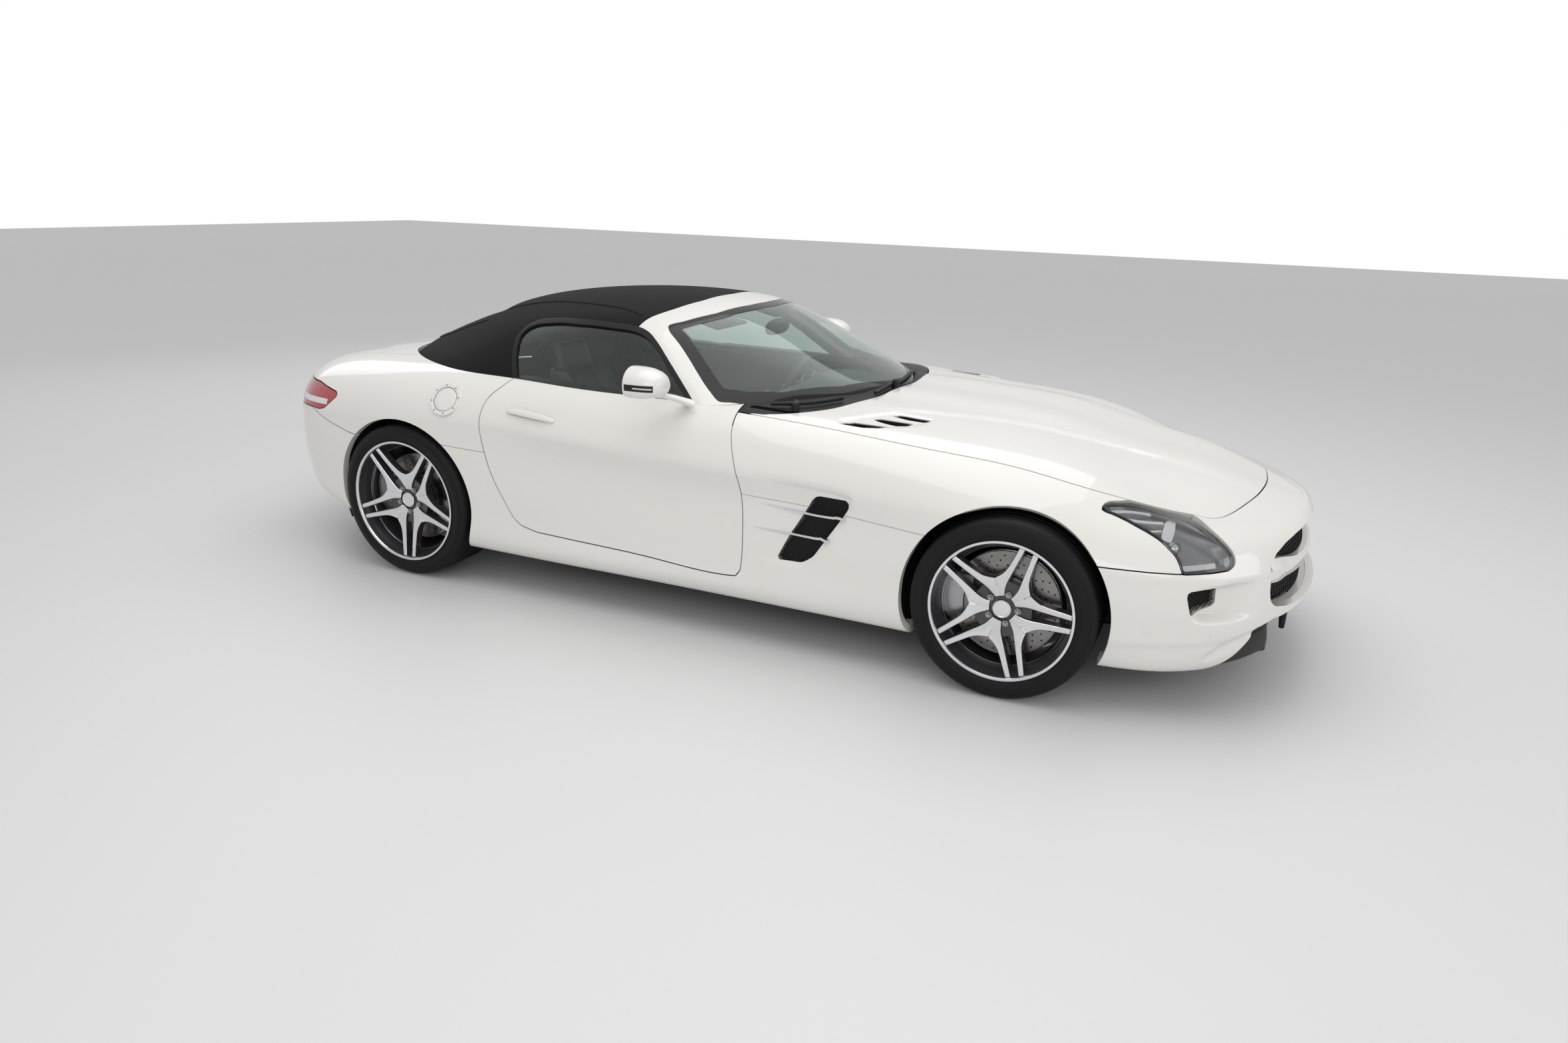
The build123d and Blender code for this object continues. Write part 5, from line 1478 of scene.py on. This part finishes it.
def make_side_vents():
    pocket = cut_sheet(skin, inside(VENT_SIDE, -.012))
    fins = []
    for line in (flowing([(.361, .578), (.584, .565), (.718, .571)], 11), flowing([(.338, .482), (.525, .477),
            (.658, .478)], 11)):
        points, normals = on_form(side_at, line)
        share = np.linspace(0, 1, len(points))
        points = points + normals * (.014 * share[:, None] ** 1.3 - .001)
        size = .25 + .75 * share
        fins.append(sweep(points, [(-.0065, -.007), (.0065, -.007), (.0075, 0.), (.005, .0055), (0, .007),
            (-.005, .0055), (-.0075, 0.)], normals, size))
    wires = diamond_mesh(side_at, VENT_SIDE, SIDE, (.43, .36), (.73, .66), .0165, .8, .0012, -.012)
    wall = rim_of(cut_sheet(skin, VENT_SIDE), .045)
    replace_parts(pair("vent_back", bare(pushed(pocket, .04)), black_plastic, slot="mesh")[1], "side_vents")
    pair("vent_mesh", wires, black_plastic, slot="mesh")
    pair("vent_wall", inward(wall), paint)
    pair("vent_fins", join(*fins), chrome)


def make_tail_lamps():
    zone = cut_sheet(skin, below(0, -1.7), inside(lamp_zone))
    band = pushed(cut_sheet(zone, above(2, .728), below(2, .752), below(0, -1.8)), .0002)
    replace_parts(pair("tail_lamp", slab(pushed(zone, .001), .008), lens_red)[1], "tail_lamps")
    pair("tail_lamp_band", slab(band, .002), lamp_white, slot="tail_lens")


# ---- mirrors, handles, cap, wipers, louvres
MIRROR = (-.091, .957, 1.)


def mirror_section(x, half_y, up, down, count=40):
    """One section of a mirror housing across the car: a domed top over a flatter bottom."""
    out = []
    for k in range(count):
        a = FULL_TURN * k / count
        c, s = math.cos(a), math.sin(a)
        power = 2.2 if s > 0 else 3.2
        y = half_y * math.copysign(abs(c) ** (2 / power), c)
        z = (up if s > 0 else down) * math.copysign(abs(s) ** (2 / power), s)
        out.append((MIRROR[0] + x, MIRROR[1] + .004 + y, MIRROR[2] - .008 + z))
    return out


def make_mirrors():
    rows = [(-.074, .074, .062, .046), (-.07, .079, .067, .05), (-.052, .08, .068, .052),
        (-.02, .079, .067, .052), (.012, .076, .063, .049), (.04, .068, .054, .043), (.058, .056, .043, .034),
        (.07, .038, .029, .023), (.0745, .016, .012, .01)]
    housing = soft_form([mirror_section(*row) for row in rows])
    glass = soft_form([mirror_section(-.0752, .068, .055, .04), mirror_section(-.0745, .069, .056, .041)])
    hollow = soft_form([mirror_section(-.0748, .0735, .0615, .0455), mirror_section(-.07, .0735, .0615, .0455)])
    hx, hy, hz = MIRROR
    tree = tree_of(housing)
    outer_at = lambda x, z, off: hit(tree, (x, 2, z), (0, -1, 0), off)
    strips = []
    for start, stop, off, section in ((-.062, .052, .0004, flat_bar(.012, -.002, .012, .0008)),
            (-.024, .048, .0012, flat_bar(.0036, -.001, .0028, .0022))):
        line = [(x, hz - .012) for x in np.linspace(hx + start, hx + stop, 16)]
        points, normals = on_form(outer_at, line, off)
        strips.append(sweep(points, section, normals))
    insert, bar = strips
    foot = flowing([(hx + .01, hy - .03, hz - .052), (hx + .04, hy - .075, hz - .062), (hx + .07, hy - .118,
        hz - .08), (hx + .098, hy - .15, hz - .096)], 8)
    size = np.interp(np.linspace(0, 1, len(foot)), [0, .3, .7, 1], [.7, .9, 1.1, 1.25])
    arm = sweep(foot, oval(.03, .013), (0, 0, 1), size)
    pair("mirror_shell", join(housing, arm), paint, ["mirror"], "door")
    for name, sheet, material in (("mirror_insert", insert, black_plastic), ("mirror_bar", bar, chrome),
            ("mirror_rim", hollow, black_plastic), ("mirror_face", glass, mirror_glass)):
        pair(name, sheet, material, body="door")


def make_handles():
    swell = lambda points: np.sin(np.linspace(0, 1, len(points)) * math.pi) ** .5
    line = flowing([(-.812, .8), (-.76, .7985), (-.69, .7935), (-.62, .787), (-.578, .782)], 8)
    points, normals = on_form(side_at, line)
    grip = points + normals * (.004 + .012 * swell(points)[:, None])
    bar = sweep(grip, oval(.014, .006), normals, .35 + .65 * swell(points))
    # a thin strip of darker paint laid on the door is painted shade for the recess behind the handle; the door
    # has no recess there
    shade_line = flowing([(-.8, .797), (-.74, .796), (-.66, .79), (-.6, .784)], 8)
    points, normals = on_form(side_at, shade_line)
    dark = sweep(points, flat_bar(.017, -.001, .015, .0008), normals, .3 + .7 * swell(points))
    pair("door_handle", bar, paint, body="door")
    pair("handle_painted_shade", dark, painted_shade, body="door")


def make_fuel_cap():
    centre, out = side_at(-1.125, .82)
    parts = [ring([(-.004, .056), (.002, .056), (.003, .058), (.003, .071), (.0016, .0745), (-.004, .0745)],
        72), disc_cap([(-.004, 0), (-.004, .0535), (.0012, .0535), (.0022, .052), (.0032, .03), (.0036, 0)],
        72)]
    groove = ring([(-.004, .0535), (.0006, .0535), (.0006, .056), (-.004, .056)], 72)
    screws = [place(disc_cap([(-.002, 0), (-.002, .0038), (.0044, .0038), (.005, .003), (.0044, .0012),
        (.0044, 0)], 10), .0648 * math.cos(a), 0, .0648 * math.sin(a)) for a in np.linspace(0, FULL_TURN,
        9)[:-1] + .2]
    for name, sheet, material in (("fuel_flap", join(*parts), paint), ("fuel_flap_groove", groove, rubber),
            ("fuel_flap_screws", join(*screws), steel)):
        build(name, flip_y(place(aimed(sheet, out), *centre)), material)


def make_louvres():
    trays, walls = [], []
    for points in LOUVRES:
        zone = soft_outline(points, .004, PLAN)
        tray = cut_sheet(upper(skin), inside(zone, -.014))
        trays.append(bare(pushed(tray, .034)))
        walls.append(inward(rim_of(pushed(cut_sheet(upper(skin), inside(zone, .002)), .003), .03)))
    build("louvre_trays", whole(join(*trays)), black_plastic, body="bonnet")
    build("louvre_walls", whole(join(*walls)), black_plastic, body="bonnet")


def laid(points, off, per=10):
    """A flowing line laid on whatever is higher, the glasshouse or the body."""
    out = []
    for x, y in flowing(points, per):
        found = [top_at(tree, x, y, off) for tree in (house_tree, body_tree)]
        spot = max((p for p, _ in found if p is not None), key=lambda p: p[2])
        out.append((spot[0], math.copysign(abs(spot[1]), y), spot[2]))
    return np.array(out)


def make_wipers():
    """Two arms and blades that lie along the foot of the screen."""
    parts = []
    # pivot of the arm, then start, middle and end of the blade, from above
    for pivot, start, middle, end in (((.405, -.7), (.3, -.7), (.385, -.655), (.52, -.49)),
            ((.632, -.175), (.6, -.34), (.622, -.1), (.56, .33))):
        arm = laid([pivot, ((pivot[0] + middle[0]) / 2 + .004, (pivot[1] + middle[1]) / 2), middle], .024)
        parts.append(sweep(arm, flat_bar(.01, -.003, .008, .005), (0, 0, 1), np.linspace(1.3, .7, len(arm))))
        blade = laid([start, middle, end], .006)
        parts.append(sweep(blade, [(-.003, -.004), (.003, -.004), (.003, .004), (.009, .006), (.006, .011),
            (-.006, .011), (-.009, .006), (-.003, .004)], (0, 0, 1)))
        hub = disc_cap([(-.02, 0), (-.02, .016), (.008, .016), (.014, .011), (.014, 0)], 24)
        parts.append(place(turned(hub, 90, "X"), *laid([pivot, middle], .018, 1)[0]))
    build("wiper_arms", join(*parts), black_plastic, ["wipers"])


# ---- cabin
def upholstered(centre, across, along, out, half, thick, taper=1., bolster=0., pleats=(), seams=(), back=.35,
        count=40):
    """A padded panel: rounded edges, raised sides, stitched channels along it and across it."""
    centre, across, along, out = (np.array(v, float) for v in (centre, across, along, out))
    u = np.sin(np.linspace(-math.pi / 2, math.pi / 2, count))
    ring_u, ring_v = np.meshgrid(u, u, indexing="ij")
    edge = (np.clip(1 - np.abs(ring_u) ** 7, 0, 1) * np.clip(1 - np.abs(ring_v) ** 7, 0, 1)) ** .45
    high = thick * edge + bolster * ramp(np.abs(ring_u), .5, .8) * (1 - ramp(np.abs(ring_u), .86, 1.)) * edge
    for place_u in pleats:
        high -= .007 * np.exp(-((ring_u - place_u) / .035) ** 2) * edge
    for place_v in seams:
        high -= .006 * np.exp(-((ring_v - place_v) / .035) ** 2) * edge * (np.abs(ring_u) < .55)
    wide = half[0] * (1 + (taper - 1) * (ring_v + 1) / 2)
    base = centre + ring_u[..., None] * wide[..., None] * across + ring_v[..., None] * half[1] * along
    front = base + out * high[..., None]
    rear = base - out * (thick * back * edge)[..., None]
    n = count * count
    faces = [tuple(f) for f in grid_faces(count, count)]
    faces += [tuple(i + n for i in f[::-1]) for f in faces]
    rim = [(i, 0) for i in range(count)] + [(count - 1, j) for j in range(1, count)] + \
          [(i, count - 1) for i in range(count - 2, -1, -1)] + [(0, j) for j in range(count - 2, 0, -1)]
    rim = [i * count + j for i, j in rim]
    faces += [(a, b, b + n, a + n) for a, b in zip(rim, rim[1:] + rim[:1])]
    return np.concatenate([front.reshape(-1, 3), rear.reshape(-1, 3)]), None, faces


def unit(v):
    v = np.array(v, float)
    return v / np.linalg.norm(v)


def make_seats():
    channels = (-.5, -.25, 0, .25, .5)
    pair("seat_base", rounded_block(-.735, -.255, .165, .575, .212, .285, .035, 6), black_plastic, ["seat"])
    # name, centre, lean, half sizes, thickness, taper, side rolls, channels, cross seams, share behind, rows
    for name, centre, ahead, half, *shape in (("seat_cushion", (-.475, .37, .322), (1, .17), (.215, .245), .062,
            1., .045, channels, (-.45, .1, .55), .9), ("seat_backrest", (-.778, .37, .64), (-.27, 1),
            (.215, .285), .06, .84, .055, channels, (-.5, 0, .45), 1.1), ("seat_headrest", (-.868, .37, .96),
            (-.2, 1), (.125, .068), .045, .88, 0., (), (), .9, 30)):
        x, z = ahead
        out = (-z, 0, x) if name == "seat_cushion" else (z, 0, -x)
        pad = upholstered(centre, (0, 1, 0), unit((x, 0, z)), unit(out), half, *shape)
        for made in pair(name, pad, dark_leather):
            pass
    pair("seat_trim", rounded_block(-.885, -.868, .24, .5, .905, .918, .006), silver_paint)


def make_tub():
    """The carpeted floor with its tunnel, the sills inside the doors, the firewall and the door posts."""
    profile = flowing([(0, .5), (.07, .499), (.11, .487), (.13, .455), (.138, .3), (.142, .24), (.16, .211),
        (.25, .206), (.6, .206), (.645, .215), (.672, .25), (.69, .325), (.712, .344), (.76, .345), (.8, .338),
        (.828, .305), (.836, .25), (.838, .195)], 4)
    rows = []
    flat = [(x, 0) for x in np.linspace(-.975, .28, 24)]
    for x, rise in flat + [(.34, .03), (.4, .09), (.46, .17), (.52, .26)]:
        widest = np.interp(x, [0., .08], [.838, .762])
        rows.append([(x, min(y, widest), max(z, .206 + rise)) for y, z in profile])
    build("cabin_floor", whole(lattice(rows)), carpet, ["floor_pan"])
    wall = rounded_block(.545, .575, -.72, .72, .2, .8, .012)
    front_post = rounded_block(.33, .545, .66, .805, .2, .79, .03, 5)
    rear_post = rounded_block(-1.16, -.985, .6, .8, .2, .8, .03, 5)
    build("cabin_frame", join(wall, whole(join(front_post, rear_post))), chassis_paint)
    hinges = []
    for z in (.43, .72):
        hinges += [tube([(.207, .862, z - .03), (.207, .862, z + .03)], .011, 16),
            rounded_block(.207, .345, .79, .806, z - .022, z + .022, .004),
            rounded_block(.199, .215, .8, .86, z - .02, z + .02, .004)]
    build("door_hinges", whole(join(*hinges)), chassis_paint)


def make_bulkhead():
    wall = rounded_block(-1.02, -.985, -.515, .515, .2, .84, .015, 5)
    pad = upholstered((-.984, 0, .6), (0, 1, 0), (0, 0, 1), (1, 0, 0), (.5, .21), .018, 1, 0, (-.5, 0, .5), (),
        .3, 34)
    hoops = []
    for y in (-.33, .33):
        arch = [(-1., y + .15 * math.cos(a), .84 + .165 * math.sin(a)) for a in np.linspace(0, math.pi, 30)]
        arch = [(-1., y + .15, .7)] + arch + [(-1., y - .15, .7)]
        hoops.append(tube(arch, .019, 14, up=(1, 0, 0)))
        face = [[(x, y + .135 * math.cos(a), .84 + .148 * math.sin(a)) for a in np.linspace(0, math.pi, 25)]
            for x in (-.99, -1.006)]
        hoops.append(soft_form(face))
    build("rear_wall", wall, carpet, ["bulkhead"])
    build("roll_hoops", join(*hoops), black_plastic)
    build("rear_wall_pad", pad, dark_leather)


def dash_bend(y):
    """How far the dashboard comes forward of its middle, towards its ends."""
    return .05 * (abs(y) / .65) ** 2.5


def make_dashboard():
    profile = flowing([(.56, .845), (.5, .866), (.36, .872), (.2, .868), (.09, .858), (.035, .835), (.01, .8),
        (.012, .765), (.05, .735), (.11, .71), (.15, .67), (.2, .625), (.3, .598), (.42, .595), (.54, .61)], 4)
    rows = []
    for y in np.linspace(-.65, .65, 79):
        hood = .022 * math.exp(-((abs(y - .37)) / .13) ** 4)
        end = 1 - .06 * ramp(abs(y), .6, .65)
        rows.append([(x + dash_bend(y) * (x < .3), y, .7 + (z - .7) * end + hood * ramp(z, .8, .865) *
            (1 - ramp(x, .14, .36))) for x, z in profile])
    build("dash_body", soft_form(rows), dark_leather, ["dashboard"])
    strip = [[(x + dash_bend(y), y, z) for x, z in ((.0075, .78), (.006, .776), (.0165, .752), (.02, .755))]
        for y in np.linspace(-.63, .16, 40)]
    build("dash_strip", soft_form(strip), silver_paint)
    rim = ring([(-.004, .034), (.01, .034), (.014, .038), (.01, .044), (-.004, .044)], 40)
    middle = disc_cap([(-.002, 0), (-.002, .01), (.01, .009), (.012, 0)], 20)
    vent = turned(join(rim, middle), 90, "Z")
    hole = turned(disc_cap([(-.002, 0), (-.002, .0345), (.002, .0345), (.002, 0)], 32), 90, "Z")
    vents, blades = [], []
    for y in (-.56, -.085, .085, .56):
        x, z = .004 + dash_bend(y), .8
        vents.append(place(vent, x, y, z))
        blades.append(place(hole, x, y, z))
        for u, v in oval(.033, .033, 8)[:4]:
            blades.append(tube([(x - .005, y - u, z - v), (x - .005, y + u, z + v)], .0016, 6, (1, 0, 0)))
    build("dash_vents", join(*vents), chrome)
    build("dash_vent_blades", join(*blades), black_plastic)
    screen = turned(rounded_block(0., .02, -.1, .1, .648, .735, .006), -14, "Y", (.02, 0, .69))
    build("dash_screen", place(screen, .045, z=.012), frit, slot="glass")
    rim = ring([(-.004, .046), (.006, .046), (.009, .05), (.004, .054), (-.004, .054)], 40)
    dial = turned(join(rim, disc_cap([(-.004, 0), (-.004, .046), (.001, .046), (.001, 0)], 32)), 90, "Z")
    build("dash_dials", join(*[place(dial, .022, y, .815) for y in (.305, .435)]), silver_paint)


def make_console():
    rows = []
    for x, half, low, high in ((-.385, .105, .49, .585), (-.36, .118, .49, .604), (-.2, .122, .49, .606),
            (-.05, .118, .49, .6), (.05, .112, .49, .6), (.12, .108, .49, .607), (.16, .104, .49, .6)):
        rows.append([(x, y, (low + high) / 2 + z) for y, z in oval(half, (high - low) / 2, 40, .45, .5)])
    build("console_body", soft_form(rows), dark_leather, ["centre_console"])
    build("console_plate", rounded_block(-.17, .13, -.082, .082, .6, .6095, .004), silver_paint)
    lever = join(rounded_block(-.075, -.02, -.018, .018, .605, .655, .012, 6), rounded_block(-.095, -.01, -.03,
        .03, .603, .6125, .004))
    knobs = [place(turned(disc_cap([(0, 0), (0, .017), (.01, .016), (.013, .013), (.013, 0)], 28), 90, "X"), x,
        y, .607) for x, y in ((.055, .045), (.055, -.045))]
    build("console_lever", join(lever, *knobs), black_plastic)
    rest = upholstered((-.285, 0, .603), (0, 1, 0), (1, 0, 0), (0, 0, 1), (.105, .092), .02, 1, 0, (0,), (), .3,
        26)
    build("console_armrest", rest, dark_leather)


STEER_HUB = np.array([-.051, .37, .775])


def make_steering_wheel():
    tilt = math.radians(22)
    axis = np.array([-math.cos(tilt), 0, math.sin(tilt)])
    side, up = np.array([0, 1., 0]), np.array([math.sin(tilt), 0, math.cos(tilt)])

    def spot(a, b, out=0.):
        return STEER_HUB + side * a + up * b + axis * out

    path = [spot(y, max(z, -.15)) for y, z in oval(.176, .176, 96)]
    rim = sweep(path, oval(.0145, .0165), axis, loop=True)
    hub = [[spot(y, z - .008, out) for y, z in oval(wide, tall, 40, .7, .7)]
        for wide, tall, out in ((.05, .042, -.035), (.072, .058, -.02), (.078, .064, -.004), (.07, .057, .01),
        (.045, .036, .018))]
    build("wheel_rim_leather", rim, dark_leather, ["steering_wheel"], "steering_wheel")
    build("wheel_hub", soft_form(hub), dark_leather, body="steering_wheel")
    corners = (1, .004), (-1, .004), (-1, -.004), (1, -.004)
    level = (.066, -.012, .026), (.11, -.018, .02), (.165, -.016, .026)
    spokes = [soft_form([[spot(sign * a, b + w * c, out) for c, out in corners] for a, b, w in level])
        for sign in (1, -1)]
    lowest = (-.06, .03), (-.105, .022), (-.146, .036)
    spokes.append(soft_form([[spot(w * c, b, out) for c, out in corners] for b, w in lowest]))
    build("wheel_spokes", join(*spokes), silver_paint, body="steering_wheel")
    column = tube([STEER_HUB - axis * .03, STEER_HUB - axis * .17], .034, 24, up=side)
    build("steering_column", column, black_plastic)
    stalks = [tube([STEER_HUB - axis * .045, STEER_HUB - axis * .04 + side * s * .12 + up * .02], .006, 10)
        for s in (1, -1)]
    build("column_stalks", join(*stalks), black_plastic)


def make_door_cards():
    card = cut_sheet(skin, inside(DOOR_SIDE, .035), below(2, .865), above(2, .34))
    card = card[0] + [0, -.0925, 0], card[1], card[2]
    pair("door_card", bare(slab(card, .004, (0, -1, 0))), dark_leather, body="door")
    rest = upholstered((-.4, .8, .6), unit((0, 1, 0)), (1, 0, 0), (0, 0, 1), (.04, .26), .022, 1, 0, (), (),
        1.6, 26)
    for made in pair("door_armrest", rest, dark_leather, body="door"):
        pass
    pull = sweep(flowing([(-.18, .812, .7), (-.22, .795, .712), (-.34, .795, .712), (-.38, .812, .7)], 6),
        oval(.007, .007, 10))
    pair("door_pull", pull, chrome, body="door")


def make_rear_mirror():
    rows = [[(.01 + x, y, 1.12 + z) for y, z in oval(wide, tall, 40, .75, .8)] for x, wide, tall in
        ((-.018, .112, .03), (-.014, .118, .035), (0., .112, .032), (.014, .07, .022), (.02, .03, .01))]
    stem = tube(flowing([(.025, 0, 1.125), (.055, 0, 1.15), (.06, 0, 1.172)], 6), .009, 12)
    build("rear_view_mirror", join(soft_form(rows), stem), black_plastic)
    visors = [rounded_block(-.215, -.075, y - .14, y + .14, 1.156, 1.168, .005) for y in (.29, -.29)]
    visors = [turned(v, 13, "Y", (-.145, 0, 1.162)) for v in visors]
    build("sun_visors", join(*visors), dark_leather)


# ---- soft top details
def make_top_details():
    """Welted seams over the cloth."""
    parts = []
    for line in ([(-.385, .535), (-.46, .499), (-.677, .435), (-.908, .368), (-1.1, .335), (-1.235, .325)],
            [(-1.3, .4), (-1.45, .38), (-1.6, .345), (-1.72, .25), (-1.755, .12), (-1.76, .001)]):
        points, normals = on_form(lambda *spot: top_at(house_tree, *spot), flowing(line, 8))
        parts.append(tube(points + normals * .0005, .0032, 8, normals))
    seams = build("roof_seams", whole(join(*parts)), fabric)


# ---- under the bonnet and the lid
def make_engine():
    """The block with its two tilted heads, covers, manifolds, pulleys and radiators."""
    castings = [rounded_block(.66, 1.18, -.17, .17, .235, .52, .03, 5), rounded_block(.68, 1.14, -.12, .12, .19,
        .24, .02, 4)]
    head = rounded_block(.68, 1.16, -.075, .075, 0, .17, .02, 5)
    cover = rounded_block(.66, 1.18, -.07, .07, .168, .225, .022, 6)
    covers, pipes, runners = [], [], []
    for side in (1, -1):
        for shape, pieces in ((head, castings), (cover, covers)):
            pieces.append(place(turned(shape, -side * 32, "X"), 0, side * .115, .44))
        runners += [tube(flowing([(x, side * .1, .66), (x, side * .165, .655), (x, side * .19, .6)], 6), .021,
            14) for x in (.8, .89, .98, 1.07)]
        pipes += [tube(flowing([(x, side * .2, .46), (x, side * .255, .42), (x, side * .262, .34)], 6), .02, 14)
            for x in (.74, .86, .98, 1.1)]
        pipes.append(tube([(.7, side * .262, .325), (1.14, side * .262, .325)], .028, 16))
    covers.append(rounded_block(.74, 1.12, -.125, .125, .62, .735, .035, 7))
    covers += [rounded_block(.76, 1.1, y - .004, y + .004, .732, .741, .003) for y in np.linspace(-.09, .09, 7)]
    for y, z, r in ((0, .3, .075), (.11, .45, .04), (-.12, .44, .045), (0, .56, .05)):
        pulley = disc_cap([(-.012, 0), (-.012, r), (.012, r), (.012, r * .8), (.004, r * .7), (.004, 0)], 36)
        pipes.append(place(turned(pulley, -90, "Z"), 1.195, y, z))
    build("engine_castings", join(*castings, *runners), cast_metal, ["engine_block"])
    build("engine_covers", join(*covers), black_plastic)
    build("engine_manifolds", join(*pipes), steel)
    radiators = rounded_block(1.9, 1.94, -.42, .42, .25, .6, .012), rounded_block(1.83, 1.86, -.36, .36, .28,
        .58, .05, 4)
    build("radiator_pack", join(*radiators), black_plastic)


BONNET_ARM = [(.119, .722, .83), (.165, .722, .785), (.22, .722, .765), (.3, .722, .775), (.345, .722, .81),
    (.4, .722, .845), (.445, .722, .878)]
LID_ARM = [(-1.912, .4, .862), (-1.95, .4, .864), (-2., .4, .87)]
LID_BRACKET = [(-1.925, .376, .868), (-1.925, .376, .77), (-1.91, .376, .75), (-1.79, .376, .748),
    (-1.765, .376, .77), (-1.765, .376, .885)]


def make_lid_arms():
    flat = flat_bar(.006, -.011, .006, .011)
    for name, path, body in (("bonnet_arms", BONNET_ARM, "bonnet"), ("lid_arms", LID_ARM, "boot_lid"),
            ("lid_brackets", LID_BRACKET, "body")):
        half = sweep(flowing(path, 6), flat, (0, 1, 0) if name == "lid_brackets" else (0, 0, 1))
        build(name, whole(half), chassis_paint, body=body)


def make_boot_tray():
    """The lined luggage space under the lid."""
    rows = []
    for x in np.linspace(-1.86, -2.2, 10):
        half = np.interp(x, [-2.2, -2., -1.86], [.42, .5, .52])
        rows.append([(x, y * half / .5, z) for y, z in flowing([(.52, .8), (.5, .7), (.495, .56), (.47, .5),
            (.4, .475), (.2, .47), (0, .47)], 4)])
    ends = [np.array([(x, y, z) for _, y, z in rows[k]] + [(x, 0, rows[k][0][2])])
        for k, x in ((0, -1.86), (-1, -2.2))]
    half = join(lattice(rows), *[(end, None, [tuple(range(len(end)))]) for end in ends])
    build("boot_lining", whole(half), lining_cloth, slot="leather")


def finish_cad_nodes():
    """Procedural materials for the nodes that stay as they are."""
    kept = {"front_subframe": chassis_paint, "rear_subframe": chassis_paint, "knuckle_fl": cast_metal,
        "knuckle_fr": cast_metal, "rear_knuckles": cast_metal, "wheel_liners": lining_cloth}
    for name, material in kept.items():
        kept_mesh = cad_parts[name].data
        kept_mesh.materials.clear()
        kept_mesh.materials.append(material)

for make in (make_camera, make_bonnet, make_fenders, make_sills, make_doors, make_quarters, make_front_bumper,
        make_rear_bumper, make_boot_and_deck, make_cowl, make_glasshouse, make_underside, make_wheels,
        make_headlamps, make_front_openings, make_side_vents, make_tail_lamps, make_mirrors, make_handles,
        make_fuel_cap, make_louvres, make_wipers, make_plates, make_diffuser, make_seats, make_tub,
        make_bulkhead, make_dashboard, make_console, make_steering_wheel, make_door_cards, make_rear_mirror,
        make_top_details, make_engine, make_lid_arms, make_boot_tray, finish_cad_nodes, make_stage, make_light):
    make()

bpy.context.scene.view_settings.view_transform = "Standard"
